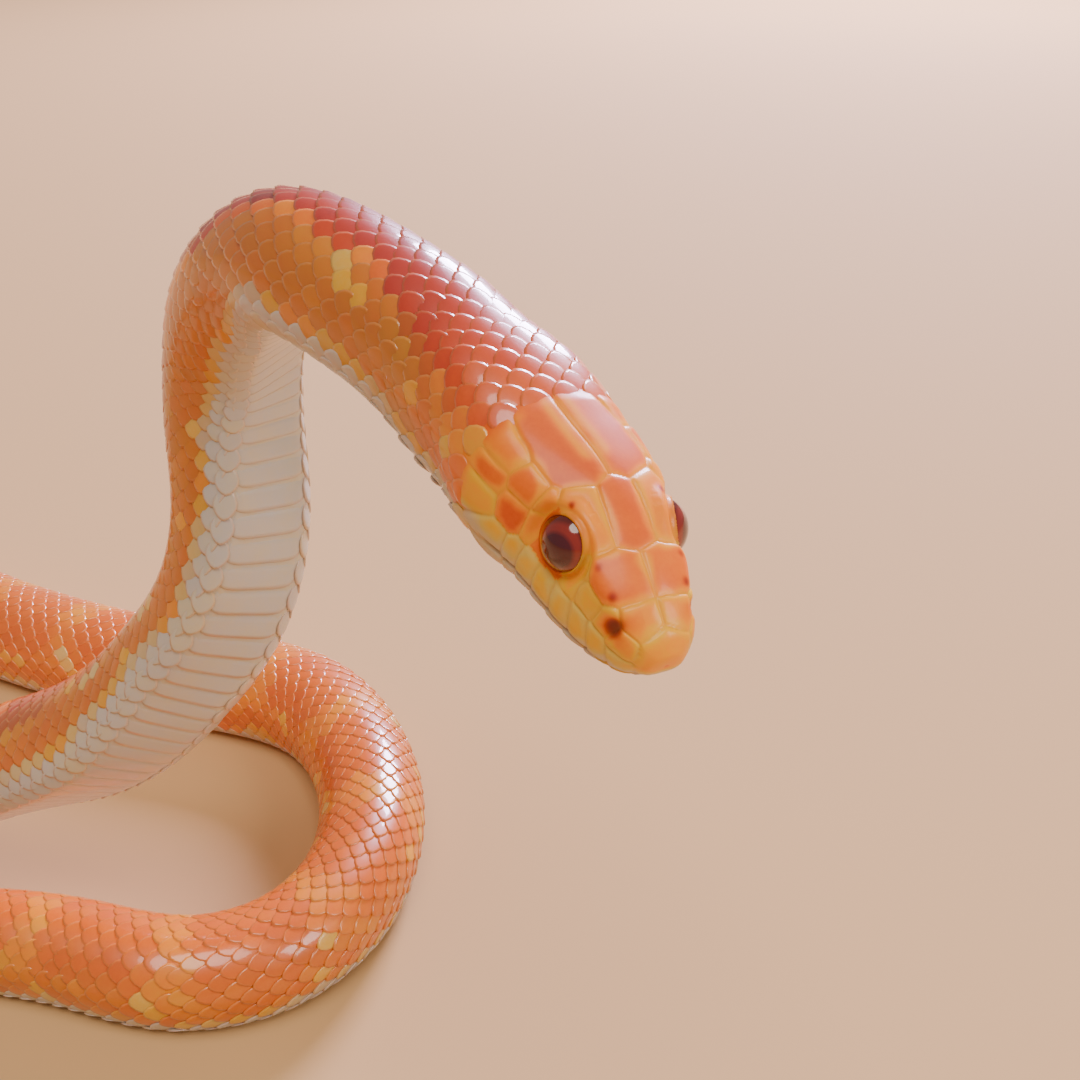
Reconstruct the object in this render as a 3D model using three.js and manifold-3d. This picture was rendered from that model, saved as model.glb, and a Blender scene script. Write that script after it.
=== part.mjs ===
// Corn snake, a still life-size model. Millimetres, +Z up, belly on the floor plane z = 0.
// The forebody rises from the floor in a tall arch and the head comes down out of it.
import * as THREE from 'three';
import Module from 'manifold-3d';
import { mergeVertices } from 'three/addons/utils/BufferGeometryUtils.js';

// Route of the body axis from the snout tip to the tail tip, points chosen by hand
const RAISED_ROUTE = [
  [145.6, -99.8, 109.3],
  [142.7, -93.1, 112.7],
  [140.0, -86.8, 115.8],
  [137.1, -82.9, 117.6],
  [134.3, -78.5, 119.5],
  [131.0, -74.0, 121.0],
  [127.2, -69.1, 123.0],
  [123.0, -64.5, 124.6],
  [118.4, -60.2, 126.0],
  [113.9, -55.8, 126.7],
  [109.0, -49.8, 125.7],
  [104.2, -43.7, 122.2],
  [99.9, -38.0, 116.2],
  [97.2, -34.3, 108.5],
  [96.3, -34.4, 100.3],
  [96.4, -36.6, 90.6],
  [94.1, -38.6, 79.1],
  [85.5, -37.4, 65.1],
  [70.4, -33.6, 49.6],
  [53.0, -26.5, 38.0],
  [30.0, -18.5, 23.5],
  [7.0, -14.0, 13.0],
];
const LAID_ROUTE = [
  [-22, -17],
  [-56, -23],
  [-92, -22],
  [-126, -9],
  [-150, 18],
  [-150, 53],
  [-126, 81],
  [-90, 93],
  [-54, 88],
  [-19, 71],
  [14, 52],
  [46, 39],
  [70, 32],
  [88.5, 23.5],
  [99.5, 8.5],
  [104.8, -10],
  [102.5, -27],
  [93, -39],
  [79, -43],
  [62, -39.5],
  [41, -36],
  [19, -38],
  [-4, -46],
  [-29, -55],
  [-56, -60],
  [-84, -60],
  [-110, -54],
  [-126, -47],
];
const LAID_HEIGHT = 10;
// Middle of the whole model seen from above, in the route's numbers, which becomes the origin
const MIDDLE = { x: -8.2, y: 2.0 };

// Which way the back faces: distance along the axis, then a direction
const BACK_FACES = [
  [0, 0.20, -0.37, 0.91],
  [26, 0.15, -0.26, 0.95],
  [45, 0.36, 0.04, 0.93],
  [58, 0.26, 0.23, 0.94],
  [74, -0.51, 0.25, 0.82],
  [93, -0.83, 0.49, 0.27],
  [111, -0.70, 0.70, -0.15],
  [139, -0.19, 0.93, 0.31],
  [183, -0.19, 0.65, 0.74],
  [225, 0, 0, 1],
];
const TOUCHDOWN_START = 222;
const TOUCHDOWN_END = 250;

// Body size: distance from the snout, half width, height of the back and depth of the belly
const BODY_SIZE = [
  [36, 7.7, 7.2, 7.2],
  [60, 7.6, 7.5, 7.4],
  [90, 8.1, 7.9, 7.9],
  [130, 8.9, 8.6, 8.5],
  [180, 9.6, 9.2, 9.0],
  [260, 10.6, 9.9, 9.6],
  [400, 11.2, 10.4, 10.0],
  [560, 11.2, 10.4, 10.0],
  [690, 10.6, 9.9, 9.5],
  [750, 9.8, 9.2, 8.8],
  [800, 8.6, 8.1, 7.8],
  [860, 7.4, 7.0, 6.8],
  [880, 6.5, 6.2, 6.0],
  [930, 4.6, 4.4, 4.2],
  [980, 2.8, 2.7, 2.6],
  [1006, 1.5, 1.4, 1.4],
  [1016, 0.8, 0.8, 0.8],
];
// Body section as shares of those sizes: shoulder, side, flank and belly edge
const BODY_SHAPE = { shoulder: [0.62, 0.80], side: [0.98, 0.25], flank: [0.96, 0.42], edge: [0.70, 0.93] };
const BELLY_BULGE = 1.08;

// Head sections: distance behind the snout, crown, then [half width, height] of the brow
// ridge, cheek, upper lip and jaw, then the depth of the chin
const HEAD_SECTIONS = [
  [0.25, 1.5, [1.1, 1.1], [1.7, 0.1], [1.6, -0.9], [1.0, -1.4], 1.5],
  [1.0, 2.3, [1.9, 1.8], [2.7, 0.5], [2.7, -1.2], [1.8, -2.2], 2.4],
  [2.2, 2.9, [2.5, 2.3], [3.4, 0.8], [3.6, -1.6], [2.6, -2.9], 3.1],
  [4.0, 3.6, [3.1, 2.9], [3.9, 1.2], [4.4, -2.0], [3.4, -3.6], 3.8],
  [6.0, 4.2, [3.5, 3.4], [4.3, 1.5], [5.1, -2.2], [4.1, -4.2], 4.4],
  [8.5, 4.7, [3.9, 3.9], [4.7, 1.8], [5.9, -2.4], [4.8, -4.7], 5.0],
  [11.5, 5.2, [4.4, 4.2], [5.3, 1.8], [6.7, -2.5], [5.5, -5.1], 5.5],
  [15.0, 5.6, [4.8, 4.4], [6.4, 1.8], [7.5, -2.4], [6.2, -5.3], 5.9],
  [19.0, 6.0, [5.2, 4.8], [7.5, 1.6], [8.2, -2.2], [6.6, -5.6], 6.3],
  [23.0, 6.4, [5.4, 5.2], [7.9, 1.7], [8.2, -2.2], [6.6, -6.0], 6.8],
  [28.0, 6.8, [5.2, 5.7], [7.8, 1.9], [7.9, -2.3], [6.2, -6.4], 7.2],
];

// Lengths of the body, each its own piece, by where they start
const LENGTHS = [
  ['neck', 28],
  ['forebody_1', 50],
  ['forebody_2', 76],
  ['forebody_3', 112],
  ['forebody_4', 165],
  ['body_1', 225],
  ['body_2', 300],
  ['body_3', 370],
  ['body_4', 425],
  ['body_5', 485],
  ['body_6', 560],
  ['body_7', 640],
  ['body_8', 702],
  ['body_9', 742],
  ['body_10', 784],
  ['tail_1', 860],
  ['tail_2', 935],
];
const GAP = 0.3;
const RING_POINTS = 20;
const RING_STEP = 7;
const HEAD_RING_POINTS = 40;
const HEAD_STEP = 1.3;
const SNOUT_PLACES = [0.25, 0.6];
const SNOUT_END = 1.0;

const EYE = { behind: 11.4, out: 3.5, up: 1.75, radius: 2.8, segments: 18 };
// Mouth line: distance behind the snout and height
const MOUTH_LINE = [[-1, -1.3], [0, -1.4], [4, -2.6], [8.5, -3.3], [11.5, -3.5], [15, -3.3], [19.5, -2.8]];
const MOUTH_CORNER = 19.5;
const MOUTH_BLOCK = { ahead: 1.5, half: 14, step: 1.5 };
const NOSTRIL = { behind: 3.0, out: 3.75, up: 1.15, radius: 0.62, segments: 10 };
const ORBIT_RIM = { out: 4.9, ring: 2.85, tube: 0.45, sides: 5, segments: 18 };

// Head shields, each a stretched spot that claims the skin round it: start and end as
// [distance behind the snout, way round from the crown], and its reach at each end
const ROSTRAL = { behind: 1.5, round: 2.2, points: 6 };
const FRONTAL = { start: [9.3, 0], end: [13.7, 0], reach: [1.95, 0.75] };
const ROSTRAL_CLAIM = { start: [0, 0], end: [0.35, 0], reach: [1.9, 1.9], bare: true };
const MENTAL_CLAIM = { start: [0.3, 3.2], end: [1.2, 3.8], reach: [1.0, 1.0], bare: true };
const ORBIT = { start: [11.2, 6.5], end: [11.6, 6.5], reach: [2.3, 2.3], bare: true };
const PAIRED_SHIELDS = {
  internasal: { start: [2.7, 1.35], end: [2.8, 1.9], reach: [1.25, 1.15] },
  prefrontal: { start: [5.9, 1.7], end: [6.3, 3.1], reach: [1.75, 1.6] },
  supraocular: { start: [9.6, 3.35], end: [13.2, 3.55], reach: [1.25, 1.35] },
  parietal: { start: [16.2, 2.1], end: [20.4, 2.2], reach: [2.15, 1.35] },
  frontNasal: { start: [2.2, 4.0], end: [2.3, 4.4], reach: [0.9, 0.9] },
  rearNasal: { start: [4.0, 4.4], end: [4.1, 4.9], reach: [0.85, 0.85] },
  loreal: { start: [5.9, 5.6], end: [6.7, 5.8], reach: [0.8, 0.8] },
  preocular: { start: [8.2, 5.4], end: [8.4, 6.9], reach: [0.85, 0.8] },
  upperPostocular: { start: [14.5, 5.7], end: [14.6, 6.2], reach: [0.75, 0.75] },
  lowerPostocular: { start: [14.3, 7.8], end: [14.2, 8.2], reach: [0.75, 0.75] },
  upperFrontTemporal: { start: [16.6, 6.5], end: [17.8, 6.7], reach: [0.95, 0.95] },
  lowerFrontTemporal: { start: [16.5, 8.9], end: [17.6, 8.9], reach: [0.95, 0.95] },
  upperRearTemporal: { start: [20.3, 6.2], end: [21.2, 6.2], reach: [1.0, 1.0] },
  middleRearTemporal: { start: [20.2, 8.2], end: [21.1, 8.3], reach: [0.95, 0.95] },
  lowerRearTemporal: { start: [20.1, 10.2], end: [21.0, 10.3], reach: [0.95, 0.95] },
};
// Lip plates by distance behind the snout, and their height over and under the mouth line
const UPPER_LIP = { at: [1.9, 3.7, 5.6, 7.6, 9.9, 12.3, 15.0, 17.9], over: 1.25, reach: 0.95 };
const LOWER_LIP = { at: [2.4, 4.0, 5.8, 7.8, 10.0, 12.4, 14.9, 17.3], over: -1.0, reach: 0.85 };
const CHIN_SHIELDS = { at: [5.0, 10.0], long: 3.0, fromMiddle: 1.1, reach: 1.1 };
const SHIELD = { large: 1.12, seam: 0.14, lift: 0.2, crown: 0.3, sink: 0.5, search: 0.15, farthest: 5 };
const SHIELD_CORNERS = { large: 12, small: 8 };

// Belly plates of the raised forebody, one for about three of the real ones
const BELLY_PLATE = {
  first: 53, last: 221, step: 8, room: 8.8, edge: 0.77, segments: 4, lap: 1.02, lift: 0.3, sink: 0.6,
};

const COLOURS = { crown: 0xe5853a, jaw: 0xd9b48a, eye: 0x5a2030, neck: 0xc05545, body: 0xc8672e, tail: 0xd0702c };

// Natural cubic spline through points, its parameter the running chord length
class RouteSpline {
  constructor(points) {
    this.points = points;
    this.knots = [0];
    for (let i = 1; i < points.length; i += 1) {
      this.knots.push(this.knots[i - 1] + points[i].distanceTo(points[i - 1]));
    }
    this.bends = this.solveBends();
  }

  solveBends() {
    const n = this.points.length;
    const bends = this.points.map(() => new THREE.Vector3());
    const factor = new Array(n).fill(0);
    for (let i = 1; i < n - 1; i += 1) {
      const before = this.knots[i] - this.knots[i - 1];
      const after = this.knots[i + 1] - this.knots[i];
      const pull = this.points[i + 1].clone().sub(this.points[i]).divideScalar(after);
      pull.sub(this.points[i].clone().sub(this.points[i - 1]).divideScalar(before)).multiplyScalar(6);
      const pivot = 2 * (before + after) - before * factor[i - 1];
      factor[i] = after / pivot;
      bends[i].copy(pull).addScaledVector(bends[i - 1], -before).divideScalar(pivot);
    }
    for (let i = n - 2; i > 0; i -= 1) {
      bends[i].addScaledVector(bends[i + 1], -factor[i]);
    }
    return bends;
  }

  at(knot) {
    const last = this.knots.length - 2;
    let i = 0;
    while (i < last && knot > this.knots[i + 1]) {
      i += 1;
    }
    const h = this.knots[i + 1] - this.knots[i];
    const a = (this.knots[i + 1] - knot) / h;
    const b = 1 - a;
    const point = this.points[i].clone().multiplyScalar(a).addScaledVector(this.points[i + 1], b);
    point.addScaledVector(this.bends[i], ((a ** 3 - a) * h * h) / 6);
    return point.addScaledVector(this.bends[i + 1], ((b ** 3 - b) * h * h) / 6);
  }
}

function blend(rows, at, column) {
  if (at <= rows[0][0]) {
    return rows[0][column];
  }
  for (let i = 1; i < rows.length; i += 1) {
    if (at <= rows[i][0]) {
      const share = (at - rows[i - 1][0]) / (rows[i][0] - rows[i - 1][0]);
      return rows[i - 1][column] + share * (rows[i][column] - rows[i - 1][column]);
    }
  }
  return rows[rows.length - 1][column];
}

// Body axis measured by distance from the snout tip
const spline = new RouteSpline([
  ...RAISED_ROUTE.map(([x, y, z]) => new THREE.Vector3(x - MIDDLE.x, y - MIDDLE.y, z)),
  ...LAID_ROUTE.map(([x, y]) => new THREE.Vector3(x - MIDDLE.x, y - MIDDLE.y, LAID_HEIGHT)),
]);
const WALK_STEP = 0.5;
const walk = [[0, 0]];
const lastKnot = spline.knots[spline.knots.length - 1];
for (let knot = WALK_STEP, was = spline.at(0); knot < lastKnot; knot += WALK_STEP) {
  const now = spline.at(knot);
  walk.push([walk[walk.length - 1][0] + now.distanceTo(was), knot]);
  was = now;
}
const TAIL_TIP = walk[walk.length - 1][0];

function axisPoint(s) {
  return spline.at(blend(walk, s, 1));
}

// Frame of the body at a distance from the snout: centre, head way, left side and back
function frameAt(s) {
  const centre = axisPoint(s);
  const ahead = axisPoint(Math.max(s - 0.5, 0)).sub(axisPoint(Math.min(s + 0.5, TAIL_TIP)));
  const laid = THREE.MathUtils.smoothstep(s, TOUCHDOWN_START, TOUCHDOWN_END);
  centre.z += laid * (blend(BODY_SIZE, s, 3) - centre.z);
  ahead.z *= 1 - laid;
  ahead.normalize();
  const back = new THREE.Vector3(...[1, 2, 3].map((k) => blend(BACK_FACES, s, k)));
  back.addScaledVector(ahead, -back.dot(ahead)).normalize();
  const left = new THREE.Vector3().crossVectors(back, ahead);
  return { centre, ahead, left, back };
}

// Half section from back to belly as [half width, height] points
function bodyOutline(s) {
  const [w, t, b] = [1, 2, 3].map((k) => blend(BODY_SIZE, s, k));
  const { shoulder, side, flank, edge } = BODY_SHAPE;
  return [
    [0, t],
    [shoulder[0] * w, shoulder[1] * t],
    [side[0] * w, side[1] * t],
    [flank[0] * w, -flank[1] * b],
    [edge[0] * w, -edge[1] * b],
    [0, -BELLY_BULGE * b],
  ];
}

function headRow([u, crown, brow, cheek, lip, jaw, chin]) {
  return { u, outline: [[0, crown], brow, cheek, lip, jaw, [0, -chin]] };
}

const bodyStart = BODY_SIZE[0][0];
const headRows = [...HEAD_SECTIONS.map(headRow), { u: bodyStart, outline: bodyOutline(bodyStart) }];

function outlineAt(s) {
  if (s >= bodyStart) {
    return bodyOutline(s);
  }
  let i = 0;
  while (i < headRows.length - 2 && s > headRows[i + 1].u) {
    i += 1;
  }
  const [from, to] = [headRows[i], headRows[i + 1]];
  const share = Math.max((s - from.u) / (to.u - from.u), 0);
  return from.outline.map((p, k) => p.map((v, c) => v + share * (to.outline[k][c] - v)));
}

// Closed smooth section through the outline and its mirror image
function sectionAt(s, count) {
  const half = outlineAt(s);
  const mirrored = half.slice(1, -1).reverse().map(([x, z]) => [-x, z]);
  const loop = [...half, ...mirrored];
  const floorLevel = s >= bodyStart ? -blend(BODY_SIZE, s, 3) : -Infinity;
  const points = [];
  for (let k = 0; k < count; k += 1) {
    const place = (k / count) * loop.length;
    const i = Math.floor(place);
    const f = place - i;
    const [p0, p1, p2, p3] = [-1, 0, 1, 2].map((d) => loop[(i + d + loop.length) % loop.length]);
    const [x, z] = [0, 1].map((c) => 0.5 * (2 * p1[c] + (p2[c] - p0[c]) * f
      + (2 * p0[c] - 5 * p1[c] + 4 * p2[c] - p3[c]) * f * f
      + (3 * p1[c] - p0[c] - 3 * p2[c] + p3[c]) * f * f * f));
    points.push([x, Math.max(z, floorLevel)]);
  }
  return points;
}

function placeAt(s, x, z) {
  const { centre, left, back } = frameAt(s);
  return centre.addScaledVector(left, x).addScaledVector(back, z);
}

// Closed mesh through rings of equal count, its ends closed by a fan from a centre point
function skinRings(rings, startPoint, endPoint) {
  const count = rings[0].length;
  const points = [startPoint, ...rings.flat(), endPoint];
  const faces = [];
  const last = points.length - 1;
  for (let k = 0; k < count; k += 1) {
    const n = (k + 1) % count;
    faces.push(0, 1 + n, 1 + k);
    for (let r = 0; r + 1 < rings.length; r += 1) {
      const [a, b] = [1 + r * count, 1 + (r + 1) * count];
      faces.push(a + k, a + n, b + n, a + k, b + n, b + k);
    }
    const e = 1 + (rings.length - 1) * count;
    faces.push(e + k, e + n, last);
  }
  return { points, faces };
}

function stations(from, to, step) {
  const count = Math.max(2, Math.round((to - from) / step));
  return Array.from({ length: count + 1 }, (_, i) => from + ((to - from) * i) / count);
}

function bodyLength(from, to, count, step) {
  const places = stations(from, to, step);
  const rings = places.map((s) => {
    const { centre, left, back } = frameAt(s);
    return sectionAt(s, count).map(([x, z]) => (
      centre.clone().addScaledVector(left, x).addScaledVector(back, z)));
  });
  return skinRings(rings, frameAt(from).centre, frameAt(to).centre);
}

const wasm = await Module();
wasm.setup();

function toSolid({ points, faces }) {
  const vertProperties = new Float32Array(points.flatMap((p) => [p.x, p.y, p.z]));
  const mesh = new wasm.Mesh({ numProp: 3, vertProperties, triVerts: new Uint32Array(faces) });
  return new wasm.Manifold(mesh);
}

function geometryToSolid(geometry) {
  const bare = geometry.clone();
  bare.deleteAttribute('normal');
  bare.deleteAttribute('uv');
  const merged = mergeVertices(bare, 1e-4);
  const positions = merged.attributes.position;
  const indices = Array.from({ length: positions.count }, (_, i) => i);
  const points = indices.map((i) => new THREE.Vector3().fromBufferAttribute(positions, i));
  return toSolid({ points, faces: Array.from(merged.index.array) });
}

// Edges shorter than this are closed up after the joins and cuts
const TRIM = 0.08;

// Largest closed piece of a solid as three.js geometry
function toGeometry(solid) {
  const pieces = solid.simplify(TRIM).decompose();
  const largest = pieces.reduce((best, piece) => (piece.volume() > best.volume() ? piece : best));
  const mesh = largest.getMesh();
  const geometry = new THREE.BufferGeometry();
  geometry.setAttribute('position', new THREE.BufferAttribute(Float32Array.from(mesh.vertProperties), 3));
  geometry.setIndex(Array.from(mesh.triVerts));
  geometry.computeVertexNormals();
  return geometry;
}

// Sections read for the plates: places in each mm along the body, and points round it
const PLACES_PER_MM = 20;
const SECTION_POINTS = 96;

// Half section from the back to the belly with its running length
const halfSections = new Map();
function halfSection(s) {
  const key = Math.round(s * PLACES_PER_MM);
  if (!halfSections.has(key)) {
    const points = sectionAt(key / PLACES_PER_MM, SECTION_POINTS).slice(0, SECTION_POINTS / 2 + 1);
    const run = [0];
    for (let i = 1; i < points.length; i += 1) {
      run.push(run[i - 1] + Math.hypot(points[i][0] - points[i - 1][0], points[i][1] - points[i - 1][1]));
    }
    halfSections.set(key, points.map(([x, z], i) => [run[i], x, z]));
  }
  return halfSections.get(key);
}

function halfGirth(s) {
  const rows = halfSection(s);
  return rows[rows.length - 1][0];
}

// Width and height of the skin at a way round from the back, positive to the left
function skinSpot(s, round) {
  const girth = halfGirth(s);
  const past = Math.abs(round) > girth;
  const side = (round < 0 ? -1 : 1) * (past ? -1 : 1);
  const way = past ? 2 * girth - Math.abs(round) : Math.abs(round);
  return [side * blend(halfSection(s), way, 1), blend(halfSection(s), way, 2)];
}

// Distance on the skin over which its slope is measured
const SLOPE_REACH = 0.3;

// Point at a height over the skin
function skinPoint(s, round, lift) {
  const reach = SLOPE_REACH;
  const point = (at, way) => placeAt(at, ...skinSpot(at, way));
  const rear = point(s + reach, round).sub(point(Math.max(s - reach, 0), round));
  const across = point(s, round + reach).sub(point(s, round - reach));
  return point(s, round).addScaledVector(across.cross(rear).normalize(), lift);
}

// Solid through rings with its faces turned outward
function outwardSolid(rings, startPoint, endPoint) {
  const { points, faces } = skinRings(rings, startPoint, endPoint);
  const solid = toSolid({ points, faces });
  return solid.volume() > 0 ? solid : toSolid({ points, faces: faces.reverse() });
}

function ringMiddle(ring) {
  return ring.reduce((sum, p) => sum.add(p), new THREE.Vector3()).divideScalar(ring.length);
}

function ball(centre, radius, segments) {
  const geometry = new THREE.SphereGeometry(radius, segments, Math.round(segments * 0.7));
  geometry.translate(centre.x, centre.y, centre.z);
  return geometry;
}

function eyeCentre(side) {
  return placeAt(EYE.behind, side * EYE.out, EYE.up);
}

// Block under the mouth line, from ahead of the snout to the corner of the mouth
function underMouth(lift, reach) {
  const { ahead: before, half, step } = MOUTH_BLOCK;
  const rings = stations(-before, MOUTH_CORNER + reach, step).map((u) => {
    const top = blend(MOUTH_LINE, u, 1) + lift;
    const { centre, ahead, left, back } = frameAt(Math.max(u, 0));
    centre.addScaledVector(ahead, Math.max(-u, 0));
    return [[half, top], [half, -half], [-half, -half], [-half, top]].map(([x, z]) => (
      centre.clone().addScaledVector(left, x).addScaledVector(back, z)));
  });
  return toSolid(skinRings(rings, ringMiddle(rings[0]), ringMiddle(rings[rings.length - 1])));
}

function wholeHead(to) {
  const places = [...SNOUT_PLACES, ...stations(SNOUT_END, to, HEAD_STEP)];
  const rings = places.map((s) => {
    const { centre, left, back } = frameAt(s);
    return sectionAt(s, HEAD_RING_POINTS).map(([x, z]) => (
      centre.clone().addScaledVector(left, x).addScaledVector(back, z)));
  });
  return toSolid(skinRings(rings, frameAt(0).centre, frameAt(to).centre));
}

function nostril(side) {
  const at = placeAt(NOSTRIL.behind, side * NOSTRIL.out, NOSTRIL.up);
  return geometryToSolid(ball(at, NOSTRIL.radius, NOSTRIL.segments));
}

// Way round from the crown to a height over the mouth line
function lipWay(u, over) {
  const level = blend(MOUTH_LINE, u, 1) + over;
  const below = halfSection(u).find(([, , z]) => z < level);
  return below[0];
}

function lipShield(u, { over, reach }) {
  const way = lipWay(u, over);
  return { start: [u - 0.3, way], end: [u + 0.3, way], reach: [reach, reach] };
}

function chinShield(u) {
  const { long, fromMiddle, reach } = CHIN_SHIELDS;
  const way = halfGirth(u) - fromMiddle;
  return { start: [u - long / 2, way], end: [u + long / 2, way], reach: [reach, reach] };
}

// Every shield on both sides, with its two ends on the skin as [distance, width, height]
function allShields() {
  const paired = [
    ORBIT,
    ROSTRAL_CLAIM,
    MENTAL_CLAIM,
    ...Object.values(PAIRED_SHIELDS),
    ...UPPER_LIP.at.map((u) => lipShield(u, UPPER_LIP)),
    ...LOWER_LIP.at.map((u) => lipShield(u, LOWER_LIP)),
    ...CHIN_SHIELDS.at.map(chinShield),
  ];
  const sided = [[FRONTAL, 1], ...paired.flatMap((shield) => [[shield, 1], [shield, -1]])];
  return sided.map(([shield, side]) => {
    const spots = [shield.start, shield.end].map(([u, way]) => new THREE.Vector3(u, ...skinSpot(u, side * way)));
    return { ...shield, side, line: new THREE.Line3(...spots) };
  });
}

function ownerAt(shields, u, round) {
  const spot = new THREE.Vector3(u, ...skinSpot(u, round));
  const nearest = new THREE.Vector3();
  let owner = null;
  let least = Infinity;
  for (const shield of shields) {
    const share = shield.line.closestPointToPointParameter(spot, true);
    shield.line.at(share, nearest);
    const reach = shield.reach[0] + share * (shield.reach[1] - shield.reach[0]);
    const gap = spot.distanceTo(nearest) - reach;
    if (gap < least) {
      least = gap;
      owner = shield;
    }
  }
  return owner;
}

// Raised plate over the skin that one shield claims
function shieldPlate(shields, shield) {
  const { large, seam, lift, crown, sink, search, farthest } = SHIELD;
  const corners = shield.reach[0] > large ? SHIELD_CORNERS.large : SHIELD_CORNERS.small;
  const u = (shield.start[0] + shield.end[0]) / 2;
  const round = (shield.side * (shield.start[1] + shield.end[1])) / 2;
  const rings = { upper: [], lower: [] };
  for (let k = 0; k < corners; k += 1) {
    const turn = ((k + 0.5) / corners) * 2 * Math.PI;
    const [du, dr] = [Math.cos(turn), Math.sin(turn)];
    let reach = search;
    while (reach < farthest && ownerAt(shields, u + reach * du, round + reach * dr) === shield) {
      reach += search;
    }
    const wide = reach - search / 2 - seam;
    rings.upper.push(skinPoint(u + (wide - seam) * du, round + (wide - seam) * dr, lift));
    rings.lower.push(skinPoint(u + wide * du, round + wide * dr, -sink));
  }
  return outwardSolid([rings.lower, rings.upper], skinPoint(u, round, -sink), skinPoint(u, round, crown));
}

// Plate over the tip of the snout
function rostralPlate() {
  const { behind, round, points } = ROSTRAL;
  const corners = [];
  for (let k = 0; k < points; k += 1) {
    const way = round * ((2 * k) / (points - 1) - 1);
    corners.push(skinPoint(behind, way, SHIELD.lift), skinPoint(behind, way, -SHIELD.sink));
    corners.push(skinPoint(behind / 2, way * 0.7, SHIELD.lift));
  }
  return wasm.Manifold.hull(corners.map((p) => [p.x, p.y, p.z]));
}

function orbitRim(side) {
  const { ahead, left, back } = frameAt(EYE.behind);
  const geometry = new THREE.TorusGeometry(ORBIT_RIM.ring, ORBIT_RIM.tube, ORBIT_RIM.sides, ORBIT_RIM.segments);
  geometry.applyMatrix4(new THREE.Matrix4().makeBasis(ahead, back, left.clone().negate()));
  const at = placeAt(EYE.behind, side * ORBIT_RIM.out, EYE.up);
  geometry.translate(at.x, at.y, at.z);
  return geometryToSolid(geometry);
}

function buildHead() {
  const shields = allShields();
  const plates = shields.filter((shield) => !shield.bare).map((shield) => shieldPlate(shields, shield));
  const rims = [1, -1].map(orbitRim);
  let head = wasm.Manifold.union([wholeHead(LENGTHS[0][1] - GAP / 2), ...plates, rostralPlate(), ...rims]);
  const jaw = head.intersect(underMouth(0, 0));
  head = head.subtract(underMouth(GAP, GAP));
  for (const side of [1, -1]) {
    head = head.subtract(geometryToSolid(ball(eyeCentre(side), EYE.radius + GAP, EYE.segments)));
    head = head.subtract(nostril(side));
  }
  return { head, jaw };
}

// One belly plate, its front edge sunk and its rear edge proud of the next one
function bellyPlate(s) {
  const { step, edge, segments, lap, lift, sink } = BELLY_PLATE;
  const girth = halfGirth(s);
  const corner = (at, share, height) => {
    const taper = 1 - Math.abs(2 * share - 1) ** 4;
    return skinPoint(at, girth * (edge + 2 * (1 - edge) * share), height > 0 ? height * taper : height);
  };
  const across = Array.from({ length: segments + 1 }, (_, k) => k / segments);
  const rings = across.map((share) => [
    corner(s, share, -sink),
    corner(s, share, 0),
    corner(s + step * lap, share, lift),
    corner(s + step * lap, share, -sink),
  ]);
  return outwardSolid(rings, ringMiddle(rings[0]), ringMiddle(rings[segments]));
}

function bellyPlates(from, to) {
  const { first, last, step, room } = BELLY_PLATE;
  const count = Math.floor((last - first) / step) + 1;
  const starts = Array.from({ length: count }, (_, k) => first + k * step);
  return starts.filter((s) => s > from + 1 && s + room < to - 1).map(bellyPlate);
}

const snake = new THREE.Group();

function addPiece(name, geometry, colour, roughness) {
  const material = new THREE.MeshStandardMaterial({ color: colour, roughness, metalness: 0 });
  const mesh = new THREE.Mesh(geometry, material);
  mesh.name = name;
  snake.add(mesh);
}

const { head, jaw } = buildHead();
addPiece('head', toGeometry(head), COLOURS.crown, 0.4);
addPiece('lower_jaw', toGeometry(jaw), COLOURS.jaw, 0.4);
addPiece('eye_left', ball(eyeCentre(1), EYE.radius, EYE.segments), COLOURS.eye, 0.08);
addPiece('eye_right', ball(eyeCentre(-1), EYE.radius, EYE.segments), COLOURS.eye, 0.08);

LENGTHS.forEach(([name, start], i) => {
  const end = i + 1 < LENGTHS.length ? LENGTHS[i + 1][1] - GAP / 2 : TAIL_TIP;
  const colour = COLOURS[name.split('_')[0]] ?? COLOURS.body;
  const tube = toSolid(bodyLength(start + GAP / 2, end, RING_POINTS, RING_STEP));
  addPiece(name, toGeometry(wasm.Manifold.union([tube, ...bellyPlates(start, end)])), colour, 0.35);
});

export default snake;
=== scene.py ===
import logging
import math
from dataclasses import dataclass, field
from enum import Enum

import bpy
import numpy as np
from mathutils import Euler, Matrix, Vector


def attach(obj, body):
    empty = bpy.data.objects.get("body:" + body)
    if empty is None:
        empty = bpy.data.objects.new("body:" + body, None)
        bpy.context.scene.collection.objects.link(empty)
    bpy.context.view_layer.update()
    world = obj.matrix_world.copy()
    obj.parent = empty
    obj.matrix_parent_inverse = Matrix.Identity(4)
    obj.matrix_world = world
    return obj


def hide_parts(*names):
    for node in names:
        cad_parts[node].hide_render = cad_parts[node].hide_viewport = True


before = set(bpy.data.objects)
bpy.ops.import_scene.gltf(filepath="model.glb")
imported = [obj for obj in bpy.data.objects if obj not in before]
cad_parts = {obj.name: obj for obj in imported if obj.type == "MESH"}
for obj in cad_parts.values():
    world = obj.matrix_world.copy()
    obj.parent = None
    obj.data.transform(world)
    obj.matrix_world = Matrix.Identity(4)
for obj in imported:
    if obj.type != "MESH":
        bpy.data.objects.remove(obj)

MM = 0.001
SEED = 7
# Size of one scale's patch on the unwrap, and the margin round all of them
PATCH = 0.003
UV_MARGIN = 0.01
# Room on the unwrap for the faces that cross from its last column to its first
UV_SEAM_ROOM = 1.02
# Height over the floor in mm at which the lowest scales lie flat
FLOOR_GAP = 0.02
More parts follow.
